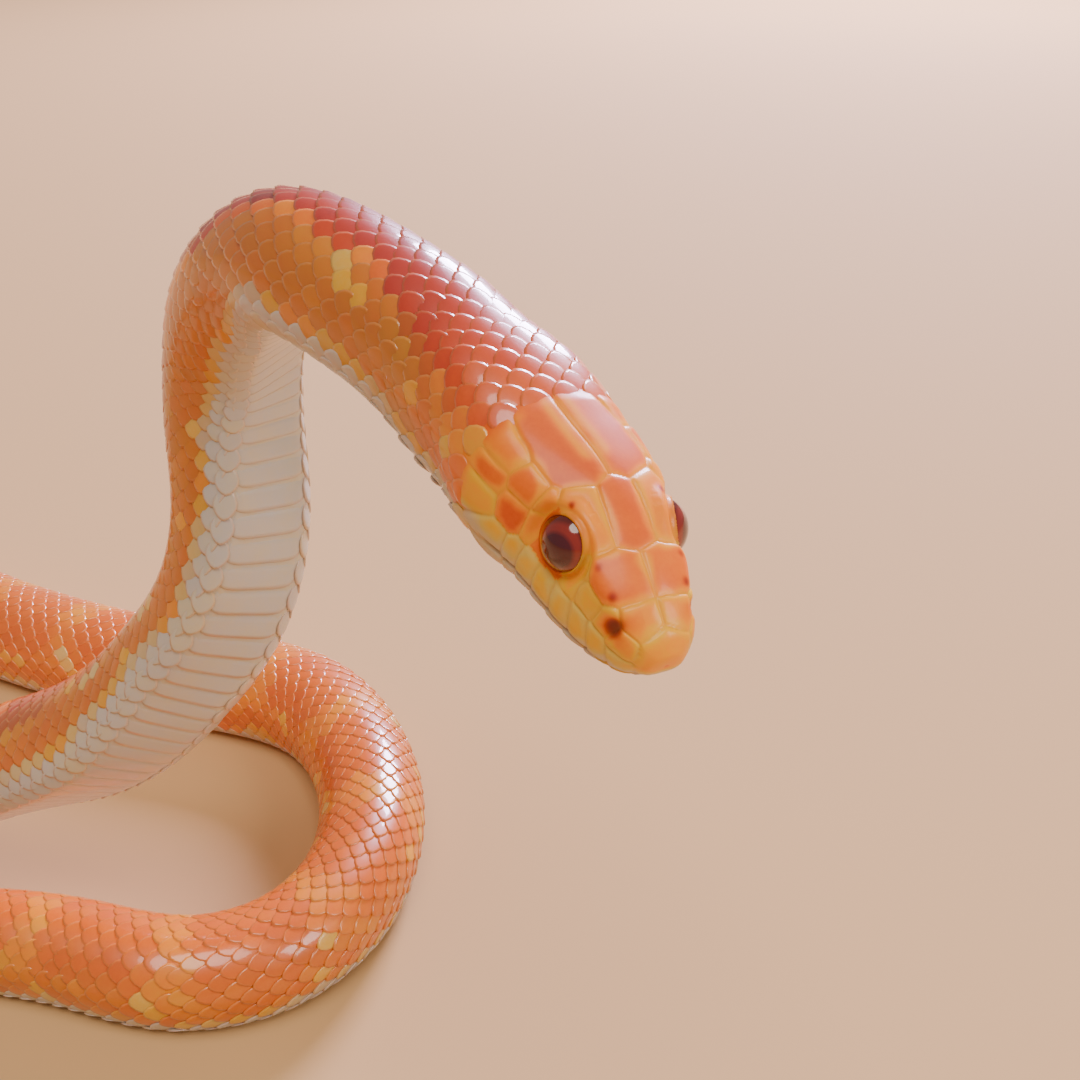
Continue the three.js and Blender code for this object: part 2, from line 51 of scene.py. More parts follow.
# Distance behind the snout in mm, and share of the unwrap, where the head's larger part ends
HEAD_ROOM = (32.0, 0.4)
FLESH_NODES = (
    "head", "lower_jaw", "neck", *(f"forebody_{k}" for k in range(1, 5)),
    *(f"body_{k}" for k in range(1, 11)), "tail_1", "tail_2",
)
log = logging.getLogger("corn_snake")


class Side(Enum):
    """A side of the animal, with the sign of its widths."""

    LEFT = 1
    RIGHT = -1
    MIDDLE = 0


BOTH_SIDES = (Side.LEFT, Side.RIGHT)


def linear(hex_colour: str) -> tuple[float, float, float, float]:
    """Turns an sRGB hex colour into a linear colour.

    Args:
        hex_colour: six hex digits with a leading hash sign.

    Returns:
        Linear red, green, blue and an alpha of one.
    """
    channels = [int(hex_colour[i:i + 2], 16) / 255 for i in (1, 3, 5)]
    curve = [c / 12.92 if c <= 0.04045 else ((c + 0.055) / 1.055) ** 2.4 for c in channels]
    return (*curve, 1.0)


def smooth_rows(table: np.ndarray, at: np.ndarray) -> np.ndarray:
    """Reads a table between its rows on a smooth curve.

    Args:
        table: rows whose first column is the place and whose others are the values.
        at: places to read, held inside the table's range.

    Returns:
        One row of values for each place.
    """
    place, values = table[:, 0], table[:, 1:]
    slopes = np.gradient(values, place, axis=0)
    i = np.clip(np.searchsorted(place, at, side="right") - 1, 0, len(place) - 2)
    span = (place[i + 1] - place[i])[:, None]
    t = np.clip((at - place[i])[:, None] / span, 0, 1)
    near = (2 * t**3 - 3 * t**2 + 1) * values[i] + (t**3 - 2 * t**2 + t) * span * slopes[i]
    far = (3 * t**2 - 2 * t**3) * values[i + 1] + (t**3 - t**2) * span * slopes[i + 1]
    return near + far


def fade(low: float, high: float, at: np.ndarray) -> np.ndarray:
    """Rises smoothly from 0 at low to 1 at high."""
    t = np.clip((at - low) / (high - low), 0, 1)
    return t * t * (3 - 2 * t)


def unit(vectors: np.ndarray) -> np.ndarray:
    """Scales vectors along the last axis to length one."""
    return vectors / np.maximum(np.linalg.norm(vectors, axis=-1, keepdims=True), 1e-9)


def ripple(along: np.ndarray, across: np.ndarray, size: float, shift: float) -> np.ndarray:
    """A smooth uneven wave over the skin, from about -1 to 1.

    Args:
        along: distance along the body in mm.
        across: distance round the body in mm.
        size: rough length of one wave in mm.
        shift: a number that moves the wave, so that no two layers match.

    Returns:
        The wave's height at each place.
    """
    a, b = along / size, across / size
    first = np.sin(2.3 * a + 1.7 * np.sin(1.9 * b + shift) + shift)
    second = np.sin(2.9 * b + 1.3 * np.sin(1.4 * a - shift) + 2 * shift)
    third = np.sin(4.1 * a - 3.7 * b + 3 * shift)
    return (first + second + 0.6 * third) / 2.2


@dataclass
class Route:
    """The body axis, from the snout tip to the tail tip, as the solids have it (mm)."""

    raised: list = field(default_factory=lambda: [
        (145.6, -99.8, 109.3), (142.7, -93.1, 112.7), (140.0, -86.8, 115.8), (137.1, -82.9, 117.6),
        (134.3, -78.5, 119.5), (131.0, -74.0, 121.0), (127.2, -69.1, 123.0), (123.0, -64.5, 124.6),
        (118.4, -60.2, 126.0), (113.9, -55.8, 126.7), (109.0, -49.8, 125.7), (104.2, -43.7, 122.2),
        (99.9, -38.0, 116.2), (97.2, -34.3, 108.5), (96.3, -34.4, 100.3), (96.4, -36.6, 90.6),
        (94.1, -38.6, 79.1), (85.5, -37.4, 65.1), (70.4, -33.6, 49.6), (53.0, -26.5, 38.0),
        (30.0, -18.5, 23.5), (7.0, -14.0, 13.0),
    ])
    laid: list = field(default_factory=lambda: [
        (-22, -17), (-56, -23), (-92, -22), (-126, -9), (-150, 18), (-150, 53), (-126, 81),
        (-90, 93), (-54, 88), (-19, 71), (14, 52), (46, 39), (70, 32), (88.5, 23.5), (99.5, 8.5),
        (104.8, -10), (102.5, -27), (93, -39), (79, -43), (62, -39.5), (41, -36), (19, -38),
        (-4, -46), (-29, -55), (-56, -60), (-84, -60), (-110, -54), (-126, -47),
    ])
    laid_height: float = 10.0
    middle: tuple = (-8.2, 2.0)
    back_faces: list = field(default_factory=lambda: [
        (0, 0.20, -0.37, 0.91), (26, 0.15, -0.26, 0.95), (45, 0.36, 0.04, 0.93),
        (58, 0.26, 0.23, 0.94), (74, -0.51, 0.25, 0.82), (93, -0.83, 0.49, 0.27),
        (111, -0.70, 0.70, -0.15), (139, -0.19, 0.93, 0.31), (183, -0.19, 0.65, 0.74),
        (225, 0, 0, 1),
    ])
    touchdown: tuple = (222.0, 250.0)
    step: float = 0.5
    slope_reach: float = 0.5

    def __post_init__(self) -> None:
        """Solves the spline and measures its length."""
        shift = np.array([*self.middle, 0.0])
        laid = [(x, y, self.laid_height) for x, y in self.laid]
        self.points = np.array(self.raised + laid) - shift
        chords = np.linalg.norm(np.diff(self.points, axis=0), axis=1)
        self.knots = np.concatenate([[0], np.cumsum(chords)])
        self.bends = self.solve_bends()
        knot = np.arange(0, self.knots[-1], self.step)
        places = self.at_knot(knot)
        lengths = np.linalg.norm(np.diff(places, axis=0), axis=1)
        self.walk = (np.concatenate([[0], np.cumsum(lengths)]), knot)
        self.length = float(self.walk[0][-1])

    def solve_bends(self) -> np.ndarray:
        """Second derivatives of the natural cubic spline at its points."""
        count = len(self.points)
        h = np.diff(self.knots)
        left = np.eye(count)
        right = np.zeros((count, 3))
        for i in range(1, count - 1):
            left[i, i - 1:i + 2] = (h[i - 1], 2 * (h[i - 1] + h[i]), h[i])
            ahead = (self.points[i + 1] - self.points[i]) / h[i]
            behind = (self.points[i] - self.points[i - 1]) / h[i - 1]
            right[i] = 6 * (ahead - behind)
        return np.linalg.solve(left, right)

    def at_knot(self, knot: np.ndarray) -> np.ndarray:
        """Points of the spline at its own parameter."""
        i = np.clip(np.searchsorted(self.knots, knot, side="left") - 1, 0, len(self.knots) - 2)
        h = (self.knots[i + 1] - self.knots[i])[:, None]
        a = (self.knots[i + 1] - knot)[:, None] / h
        b = 1 - a
        straight = a * self.points[i] + b * self.points[i + 1]
        bent = (a**3 - a) * self.bends[i] + (b**3 - b) * self.bends[i + 1]
        return straight + bent * h * h / 6

    def point(self, s: np.ndarray) -> np.ndarray:
        """Points of the axis by distance from the snout."""
        return self.at_knot(np.interp(s, *self.walk))

    def frames(self, s: np.ndarray, belly: np.ndarray) -> tuple:
        """Centre, head way, left side and back of the body.

        Args:
            s: distances from the snout in mm.
            belly: depth of the belly under the axis at those places.

        Returns:
            Four arrays of vectors: centre, ahead, left and back.
        """
        centre = self.point(s)
        before = self.point(np.maximum(s - self.slope_reach, 0))
        ahead = before - self.point(np.minimum(s + self.slope_reach, self.length))
        laid = fade(*self.touchdown, s)
        centre[:, 2] += laid * (belly - centre[:, 2])
        ahead[:, 2] *= 1 - laid
        ahead = unit(ahead)
        rows = np.array(self.back_faces, float)
        back = np.stack([np.interp(s, rows[:, 0], rows[:, k]) for k in (1, 2, 3)], axis=1)
        back = unit(back - np.sum(back * ahead, axis=1, keepdims=True) * ahead)
        return centre, ahead, np.cross(back, ahead), back


@dataclass
class Form:
    """Sections of the head and body (mm), as the solids have them."""

    # Distance from the snout, half width, height of the back, depth of the belly
    body: list = field(default_factory=lambda: [
        (36, 7.7, 7.2, 7.2), (60, 7.6, 7.5, 7.4), (90, 8.1, 7.9, 7.9), (130, 8.9, 8.6, 8.5),
        (180, 9.6, 9.2, 9.0), (260, 10.6, 9.9, 9.6), (400, 11.2, 10.4, 10.0),
        (560, 11.2, 10.4, 10.0), (690, 10.6, 9.9, 9.5), (750, 9.8, 9.2, 8.8),
        (800, 8.6, 8.1, 7.8), (860, 7.4, 7.0, 6.8), (880, 6.5, 6.2, 6.0), (930, 4.6, 4.4, 4.2),
        (980, 2.8, 2.7, 2.6), (1006, 1.5, 1.4, 1.4), (1016, 0.8, 0.8, 0.8),
    ])
    # Distance behind the snout, crown, then half width and height of the brow ridge, cheek,
    # upper lip and jaw, then the depth of the chin
    head: list = field(default_factory=lambda: [
        (0.25, 1.5, 1.1, 1.1, 1.7, 0.1, 1.6, -0.9, 1.0, -1.4, 1.5),
        (1.0, 2.3, 1.9, 1.8, 2.7, 0.5, 2.7, -1.2, 1.8, -2.2, 2.4),
        (2.2, 2.9, 2.5, 2.3, 3.4, 0.8, 3.6, -1.6, 2.6, -2.9, 3.1),
        (4.0, 3.6, 3.1, 2.9, 3.9, 1.2, 4.4, -2.0, 3.4, -3.6, 3.8),
        (6.0, 4.2, 3.5, 3.4, 4.3, 1.5, 5.1, -2.2, 4.1, -4.2, 4.4),
        (8.5, 4.7, 3.9, 3.9, 4.7, 1.8, 5.9, -2.4, 4.8, -4.7, 5.0),
        (11.5, 5.2, 4.4, 4.2, 5.3, 1.8, 6.7, -2.5, 5.5, -5.1, 5.5),
        (15.0, 5.6, 4.8, 4.4, 6.4, 1.8, 7.5, -2.4, 6.2, -5.3, 5.9),
        (19.0, 6.0, 5.2, 4.8, 7.5, 1.6, 8.2, -2.2, 6.6, -5.6, 6.3),
        (23.0, 6.4, 5.4, 5.2, 7.9, 1.7, 8.2, -2.2, 6.6, -6.0, 6.8),
        (28.0, 6.8, 5.2, 5.7, 7.8, 1.9, 7.9, -2.3, 6.2, -6.4, 7.2),
    ])
    shoulder: tuple = (0.62, 0.80)
    side: tuple = (0.98, 0.25)
    flank: tuple = (0.96, 0.42)
    edge: tuple = (0.70, 0.93)
    bulge: float = 1.08
    samples: int = 240
    # Most of the crown's height that the inset of the skin may take
    inset_share: float = 0.5

    def body_outline(self, s: np.ndarray) -> np.ndarray:
        """Half outlines of the body from back to belly, as (place, point, width and height)."""
        w, t, b = smooth_rows(np.array(self.body, float), s).T
        zero = np.zeros_like(w)
        columns = [
            (zero, t),
            (self.shoulder[0] * w, self.shoulder[1] * t),
            (self.side[0] * w, self.side[1] * t),
            (self.flank[0] * w, -self.flank[1] * b),
            (self.edge[0] * w, -self.edge[1] * b),
            (zero, -self.bulge * b),
        ]
        return np.stack([np.stack(pair, axis=1) for pair in columns], axis=1)

    def belly(self, s: np.ndarray) -> np.ndarray:
        """Depth of the belly under the axis."""
        return smooth_rows(np.array(self.body, float), s)[:, 2]

    def outline(self, s: np.ndarray) -> np.ndarray:
        """Half outlines of head and body at distances from the snout."""
        join = self.body[0][0]
        last = self.body_outline(np.array([float(join)]))[0]
        rows = []
        for u, crown, *middle, chin in self.head:
            rows.append([u, 0, crown, *middle, 0, -chin])
        rows.append([join, *last.ravel()])
        tip = rows[0][0]
        front = smooth_rows(np.array(rows, float), np.maximum(s, tip)).reshape(-1, 6, 2)
        blunt = np.sqrt(np.clip(1 - (1 - np.minimum(s / tip, 1)) ** 2, 0, 1))
        front = front * blunt[:, None, None]
        return np.where((s < join)[:, None, None], front, self.body_outline(np.maximum(s, join)))

    def sections(self, s: np.ndarray, inset: np.ndarray) -> np.ndarray:
        """Closed smooth sections, from the back round the left side to the belly and on.

        Args:
            s: distances from the snout in mm.
            inset: how far inside the solids each section lies.

        Returns:
            Points as (place, sample, width and height).
        """
        half = self.outline(s)
        mirrored = half[:, -2:0:-1] * np.array([-1, 1])
        loop = np.concatenate([half, mirrored], axis=1)
        count = loop.shape[1]
        place = np.arange(self.samples) * count / self.samples
        i = place.astype(int)
        f = (place - i)[None, :, None]
        p0, p1, p2, p3 = (loop[:, (i + d) % count] for d in (-1, 0, 1, 2))
        curve = 0.5 * (2 * p1 + (p2 - p0) * f + (2 * p0 - 5 * p1 + 4 * p2 - p3) * f**2
                       + (3 * p1 - p0 - 3 * p2 + p3) * f**3)
        floor = np.where(s >= self.body[0][0], -self.belly(s), -np.inf)
        curve[..., 1] = np.maximum(curve[..., 1], floor[:, None])
        run = np.roll(curve, -1, axis=1) - np.roll(curve, 1, axis=1)
        outward = unit(np.stack([-run[..., 1], run[..., 0]], axis=-1))
        room = np.minimum(inset, self.inset_share * np.abs(half[:, 0, 1]))[:, None, None]
        return curve - outward * room


@dataclass
class Surface:
    """A fine map of the skin: distance along the body and share of the way round it (mm).

    The skin lies inside the solids, by scale_depth under the scales and by head_depth on the
    head, where the shields are part of it.
    """

    route: Route
    form: Form
    scale_depth: float = 0.30
    head_depth: float = 0.12
    nape: tuple = (18.0, 26.0)
    snout_end: float = 1.0
    snout_step: float = 0.05
    head_end: float = 36.0
    head_step: float = 0.1
    body_step: float = 0.5
    columns: int = 257

    def __post_init__(self) -> None:
        """Measures the sections and lays the map over them."""
        route, form = self.route, self.form
        self.s = np.concatenate([
            np.arange(0, self.snout_end, self.snout_step),
            np.arange(self.snout_end, self.head_end, self.head_step),
            np.arange(self.head_end, route.length, self.body_step),
            [route.length],
        ])
        nape = fade(*self.nape, self.s)
        inset = self.head_depth + (self.scale_depth - self.head_depth) * nape
        loops = form.sections(self.s, inset)
        closed = np.concatenate([loops, loops[:, :1]], axis=1)
        steps = np.linalg.norm(np.diff(closed, axis=1), axis=2)
        runs = np.concatenate([np.zeros((len(self.s), 1)), np.cumsum(steps, axis=1)], axis=1)
        self.half_girth = runs[:, -1] / 2
        share = np.linspace(-1, 1, self.columns)
        self.flat = np.empty((len(self.s), self.columns, 2))
        for row, (run, points) in enumerate(zip(runs, closed)):
            want = np.mod(share / 2, 1) * run[-1]
            self.flat[row, :, 0] = np.interp(want, run, points[:, 0])
            self.flat[row, :, 1] = np.interp(want, run, points[:, 1])
        centre, _, left, back = route.frames(self.s, form.belly(self.s))
        self.place = (centre[:, None] + self.flat[..., :1] * left[:, None]
                      + self.flat[..., 1:] * back[:, None])
        rear = np.gradient(self.place, self.s, axis=0)
        round_way = np.gradient(self.place, axis=1)
        self.rear = unit(rear)
        self.round_way = unit(round_way)
        self.normal = unit(np.cross(self.round_way, self.rear))
        self.normal[0] = unit(centre[0] - centre[4])

    def read(self, grid: np.ndarray, s: np.ndarray, g: np.ndarray) -> np.ndarray:
        """Reads one of the map's grids between its points.

        Args:
            grid: place, normal, rear, round_way or flat.
            s: distances from the snout in mm.
            g: share of the way round, 0 on the back, 1 or -1 under the belly.

        Returns:
            One value or vector for each place.
        """
        row = np.interp(s, self.s, np.arange(len(self.s)))
        column = (np.mod(g + 1, 2) / 2) * (self.columns - 1)
        r0 = np.minimum(row.astype(int), len(self.s) - 2)
        c0 = np.minimum(column.astype(int), self.columns - 2)
        fr, fc = (row - r0)[:, None], (column - c0)[:, None]
        near = grid[r0, c0] * (1 - fc) + grid[r0, c0 + 1] * fc
        far = grid[r0 + 1, c0] * (1 - fc) + grid[r0 + 1, c0 + 1] * fc
        return near * (1 - fr) + far * fr

    def girth(self, s: np.ndarray) -> np.ndarray:
        """Half of the way round the body in mm."""
        return np.interp(s, self.s, self.half_girth)


@dataclass(frozen=True)
class Shield:
    """One plate of the head: a stretched spot that claims the skin round it (mm).

    start and end are (distance behind the snout, way round from the crown), width is the
    plate's reach at each end. tint is the colour of its middle and margin that of its edge,
    from 0, cream, through yellow and orange to 1, red.
    """

    name: str
    start: tuple
    end: tuple
    width: tuple
    tint: float
    margin: float = 0.40


MIDDLE_SHIELDS = (
    Shield("rostral", (0.0, 0.0), (0.35, 0.0), (1.75, 1.75), 0.39, 0.31),
    Shield("frontal", (9.9, 0.0), (12.3, 0.0), (1.45, 1.25), 0.60, 0.46),
    Shield("mental", (0.6, 99.0), (1.2, 99.0), (1.0, 1.0), 0.05, 0.03),
)
PAIRED_SHIELDS = (
    Shield("orbit", (11.2, 6.5), (11.6, 6.5), (2.3, 2.3), 0.62, 0.58),
    Shield("internasal", (2.8, 1.35), (2.9, 1.9), (1.3, 1.2), 0.44, 0.34),
    Shield("prefrontal", (5.9, 1.75), (6.2, 2.9), (1.95, 1.75), 0.55, 0.40),
    Shield("supraocular", (9.9, 3.35), (12.6, 3.65), (1.3, 1.55), 0.46, 0.38),
    Shield("parietal", (16.8, 2.2), (20.2, 2.3), (2.0, 1.5), 0.62, 0.46),
    Shield("front_nasal", (2.2, 4.0), (2.3, 4.4), (0.9, 0.9), 0.40, 0.24),
    Shield("rear_nasal", (4.0, 4.4), (4.1, 4.9), (0.85, 0.85), 0.36, 0.24),
    Shield("loreal", (5.9, 5.6), (6.7, 5.8), (0.8, 0.8), 0.34, 0.26),
    Shield("preocular", (8.2, 5.4), (8.4, 6.9), (0.85, 0.8), 0.38, 0.28),
    Shield("upper_postocular", (14.5, 5.7), (14.6, 6.2), (0.75, 0.75), 0.44, 0.38),
    Shield("lower_postocular", (14.3, 7.8), (14.2, 8.2), (0.75, 0.75), 0.44, 0.36),
    Shield("upper_front_temporal", (16.6, 6.5), (17.8, 6.7), (0.95, 0.95), 0.56, 0.40),
    Shield("lower_front_temporal", (16.5, 8.9), (17.6, 8.9), (0.95, 0.95), 0.64, 0.46),
    Shield("upper_rear_temporal", (20.3, 6.2), (21.2, 6.2), (1.0, 1.0), 0.50, 0.38),
    Shield("middle_rear_temporal", (20.2, 8.2), (21.1, 8.3), (0.95, 0.95), 0.58, 0.40),
    Shield("lower_rear_temporal", (20.1, 10.2), (21.0, 10.3), (0.95, 0.95), 0.36, 0.28),
)
# Small dark spots on the head: distance behind the snout, way round, radius, strength
HEAD_SPOTS = (
    (12.9, 3.9, 0.30, 0.9), (5.0, 3.3, 0.34, 0.8), (7.4, 3.6, 0.30, 0.5), (10.6, 4.3, 0.22, 0.6),
)
# Mouth line: distance behind the snout and height
MOUTH_LINE = (
    (-1, -1.3), (0, -1.4), (4, -2.6), (8.5, -3.3), (11.5, -3.5), (15, -3.3), (19.5, -2.8),
)
MOUTH_CORNER = 19.5


@dataclass(frozen=True)
class LipRow:
    """One row of lip plates: places behind the snout, and depth below the mouth line (mm).

    Plates ahead of tip_end have the sizes that start with tip.
    """

    name: str
    places: tuple
    below: float
    reach: float
    tint: float
    margin: float
    tip_end: float = 0.0
    tip_below: float = 0.0
    tip_reach: float = 0.0
    half_length: float = 0.3


UPPER_LIP = LipRow(
    "upper_lip", (1.9, 3.7, 5.6, 7.6, 9.9, 12.3, 15.0, 17.9), below=-1.25, reach=0.95,
    tint=0.29, margin=0.17, tip_end=3.0, tip_below=-0.9, tip_reach=0.75,
)
LOWER_LIP = LipRow(
    "lower_lip", (2.4, 4.0, 5.8, 7.8, 10.0, 12.4, 14.9, 17.3), below=1.0, reach=0.85,
    tint=0.06, margin=0.02,
)


@dataclass(frozen=True)
class ThroatRows:
    """Rows of small plates on each side of the throat's middle line (mm)."""

    places: tuple = (3.4, 24, 2.3)
    # Name, how far behind, rows from the middle, and where the row starts
    kinds: tuple = (("chin", 0.0, 0, 3), ("throat", 1.1, 1, 6), ("gular", 0.0, 2, 13))
    from_middle: float = 0.75
    spread: float = 1.5
    spread_growth: float = 0.05
    widest_spread: float = 2.2
    ahead: float = 0.7
    behind: float = 0.6
    reach: float = 0.72
    tint: float = 0.04
    margin: float = 0.02


THROAT_ROWS = ThroatRows()


@dataclass
class Eye:
    """Places of the eyes inside the head (mm), as the solids have them."""

    behind: float = 11.4
    out: float = 3.5
    up: float = 1.75
    radius: float = 2.8
    # How far upward and ahead the opening and the pupil face, for one part sideways
    opening_faces: tuple = (0.36, 0.27)
    pupil_faces: tuple = (0.33, 0.52)

    def centre(self, route: Route, form: Form, side: Side) -> np.ndarray:
        """Centre of one eye."""
        s = np.array([self.behind])
        centre, _, left, back = route.frames(s, form.belly(s))
        return (centre + side.value * self.out * left + self.up * back)[0]

    def facing(self, route: Route, form: Form, side: Side, upward_ahead: tuple) -> np.ndarray:
        """Direction from the eye's centre.

        Args:
            route: the body axis.
            form: the sections.
            side: which eye.
            upward_ahead: parts upward and ahead for one part sideways.

        Returns:
            A vector of length one.
        """
        s = np.array([self.behind])
        _, ahead, left, back = route.frames(s, form.belly(s))
        upward, forward = upward_ahead
        return unit(side.value * left + upward * back + forward * ahead)[0]


@dataclass(frozen=True)
class Wave:
    """An uneven wave: its height, rough length in mm, and the shift that sets it apart."""

    height: float
    size: float
    shift: float

    def over(self, along: np.ndarray, across: np.ndarray) -> np.ndarray:
        """The wave at each place."""
        return self.height * ripple(along, across, self.size, self.shift)


@dataclass
class HeadRelief:
    """Shields, seams, mouth line and nostrils that shape and colour the head's skin (mm)."""

    surface: Surface
    form: Form
    eye: Eye
    groove: float = 0.11
    dome: float = 0.11
    dome_reach: float = 0.40
    rear_rise: float = 0.07
    seam_width: float = 0.10
    # Painted highlight beside each seam: its reach and strength
    rim_width: float = 0.22
    seam_highlight_strength: float = 0.8
    # Distances from a seam over which a shield's slope and its own colour set in
    slope_in: tuple = (0.0, 0.3)
    colour_in: tuple = (0.10, 0.80)
    colour_wave: Wave = Wave(0.30, 1.7, 0.7)
    # Where the shields end and the scales begin, further ahead on the sides
    head_end: tuple = (22.4, 24.0)
    head_end_slant: float = 0.15
    mouth_half_height: float = 0.14
    mouth_depth: float = 0.45
    mouth_end: tuple = (MOUTH_CORNER - 0.8, MOUTH_CORNER + 0.3)
    # Distance behind the snout and height, then half sizes
    nostril_place: tuple = (3.35, 1.50)
    nostril_half: tuple = (0.68, 0.90)
    nostril_depth: float = 0.32
    # Redder skin round the nostril: distance behind the snout, height and reach
    nostril_flush: tuple = (3.3, 1.45, 1.2)
    snout_half_width: float = 1.5
    # Pale streak beside the middle line of the crown: way round, reach and strength
    streak: tuple = (1.0, 0.55, 0.20)
    streak_start: tuple = (15.5, 17.5)
    streak_wave: Wave = Wave(0.8, 2.2, 3.0)
    # Cream lip: heights over the mouth line where it fades out, ahead and further back
    lip_tint: float = 0.05
    lip_edge: tuple = (0.15, 1.25)
    lip_wave: Wave = Wave(0.25, 1.3, 5.0)
    rear_lip_edge: tuple = (0.6, 2.3)
    rear_lip_from: tuple = (9, 17)
    lip_below: float = 0.5
    # How much redder spots, nostril and the skin round it are
    red_shares: tuple = (0.35, 0.50, 0.14)
    # How dark mouth line, nostril, the skin round it, spots and seams are: painted shade in mouth
    # line, nostril and seams, own colour in the spots and the skin round the nostril
    dark_shares: tuple = (0.55, 0.68, 0.10, 0.5, 0.12)

    def __post_init__(self) -> None:
        """Places every shield on the surface."""
        self.mouth = np.array(MOUTH_LINE, float)
        shields = self.all_shields()
        self.ends = np.array([[self.spot(*shield.start, side), self.spot(*shield.end, side)]
                              for shield, side in shields])
        self.widths = np.array([shield.width for shield, _ in shields])
        self.tints = np.array([shield.tint for shield, _ in shields])
        self.margins = np.array([shield.margin for shield, _ in shields])

    def lip_arc(self, u: float, below: float) -> float:
        """Way round from the crown to a height below the mouth line, in mm."""
        grid = self.surface.flat[int(np.searchsorted(self.surface.s, u))]
        half = grid[self.surface.columns // 2:]
        level = np.interp(u, self.mouth[:, 0], self.mouth[:, 1]) - below
        share = np.interp(-level, -half[:, 1], np.linspace(0, 1, len(half)))
        return float(share * self.surface.girth(np.array([u]))[0])

    def all_shields(self) -> list:
        """Every shield with its side."""
        paired = [*PAIRED_SHIELDS, *self.lip_plates(), *self.throat_plates()]
        shields = [(shield, Side.MIDDLE) for shield in MIDDLE_SHIELDS]
        return shields + [(shield, side) for shield in paired for side in BOTH_SIDES]

    def lip_plates(self) -> list:
        """The plates over and under the mouth line, for one side."""
        plates = []
        for row in (UPPER_LIP, LOWER_LIP):
            for k, u in enumerate(row.places):
                at_tip = u < row.tip_end
                arc = self.lip_arc(u, row.tip_below if at_tip else row.below)
                reach = row.tip_reach if at_tip else row.reach
                ends = (u - row.half_length, arc), (u + row.half_length, arc)
                name = f"{row.name}_{k}"
                plates.append(Shield(name, *ends, (reach, reach), row.tint, row.margin))
        return plates

    def throat_plates(self) -> list:
        """The small plates under chin and throat, for one side."""
        plates = []
        rows = THROAT_ROWS
        for k, u in enumerate(np.arange(*rows.places)):
            middle = float(self.surface.girth(np.array([u]))[0]) - rows.from_middle
            spread = min(rows.spread + rows.spread_growth * u, rows.widest_spread)
            for name, back, row, first in rows.kinds:
                if u > first:
                    way = middle - row * spread
                    ends = (u + back - rows.ahead, way), (u + back + rows.behind, way)
                    reach = (rows.reach, rows.reach)
                    plates.append(Shield(f"{name}_{k}", *ends, reach, rows.tint, rows.margin))
        return plates

    def spot(self, u: float, arc: float, side: Side) -> np.ndarray:
        """One end of a shield as (distance behind the snout, width, height)."""
        girth = max(self.surface.girth(np.array([u]))[0], 1e-3)
        share = min(arc / girth, 1.0) * (side.value or 1)
        flat = self.surface.read(self.surface.flat, np.array([u]), np.array([share]))[0]
        return np.array([u, flat[0], flat[1]])

    def claim(self, spots: np.ndarray) -> tuple:
        """Finds the shield that holds each spot.

        Args:
            spots: (distance behind the snout, width, height) of each point of the skin.

        Returns:
            Index of the shield, and the distance to its seam in mm.
        """
        best = np.full(len(spots), 1e9)
        second = np.full(len(spots), 1e9)
        owner = np.zeros(len(spots), int)
        for k, ((a, b), (wa, wb)) in enumerate(zip(self.ends, self.widths)):
            line = b - a
            t = np.clip((spots - a) @ line / max(line @ line, 1e-9), 0, 1)
            gap = np.linalg.norm(spots - a - t[:, None] * line, axis=1) - (wa + t * (wb - wa))
            nearer = gap < best
            second = np.where(nearer, best, np.minimum(second, gap))
            owner = np.where(nearer, k, owner)
            best = np.where(nearer, gap, best)
        return owner, (second - best) / 2

    def shape(self, s: np.ndarray, g: np.ndarray) -> dict:
        """Relief and colour values for points of the skin.

        Args:
            s: distances from the snout in mm.
            g: share of the way round.

        Returns:
            lift in mm, tint, the painted highlight beside the seams, darkness (painted shade in the
            creases, with the dark spots) and closeness to the head.
        """
        flat = self.surface.read(self.surface.flat, s, g)
        width, height = np.abs(flat[:, 0]), flat[:, 1]
        owner, seam = self.claim(np.column_stack([s, flat]))
        way = np.abs(g) * self.surface.girth(s)
        on_head = 1 - fade(*self.head_end, s + self.head_end_slant * width)
        seam_line = np.exp(-((seam / self.seam_width) ** 2))
        middle = self.ends[owner, :, 0].mean(axis=1)
        reach = self.widths[owner].mean(axis=1) + np.ptp(self.ends[owner, :, 0], axis=1) / 2
        rearward = np.clip((s - middle) / reach, -1, 1) * fade(*self.slope_in, seam)
        lift = self.dome * (1 - np.exp(-seam / self.dome_reach)) + self.rear_rise * rearward
        lift = lift - self.groove * seam_line
        to_mouth = height - np.interp(s, self.mouth[:, 0], self.mouth[:, 1])
        slit = np.exp(-((to_mouth / self.mouth_half_height) ** 2)) * (1 - fade(*self.mouth_end, s))
        beside = width > self.snout_half_width
        (behind, up), (half_length, half_height) = self.nostril_place, self.nostril_half
        hole = np.hypot((s - behind) / half_length, (height - up) / half_height)
        hole = np.exp(-(hole ** 4)) * beside
        behind, up, flush_reach = self.nostril_flush
        flush = np.exp(-(np.hypot(s - behind, height - up) / flush_reach) ** 2) * beside
        dots = sum(
            strength * np.exp(-(((s - u) ** 2 + (way - round_way) ** 2) / radius**2))
            for u, round_way, radius, strength in HEAD_SPOTS
        )
        tint = self.tint(s, way, owner, seam, height, to_mouth)
        red = zip(self.red_shares, (dots, hole, flush))
        # Painted shade in the mouth line, nostril and seams, with the own dark of the spots and of
        # the skin round the nostril
        dark = zip(self.dark_shares, (slit, hole, flush, dots, seam_line * on_head))
        return {
            "lift": lift * on_head - self.mouth_depth * slit - self.nostril_depth * hole,
            "tint": np.clip(tint + sum(share * value for share, value in red), 0, 1),
            "on_head": on_head,
            # Painted highlight beside each seam
            "rim": np.exp(-seam / self.rim_width) * on_head * self.seam_highlight_strength,
            "dark": np.clip(sum(share * value for share, value in dark), 0, 1),
        }

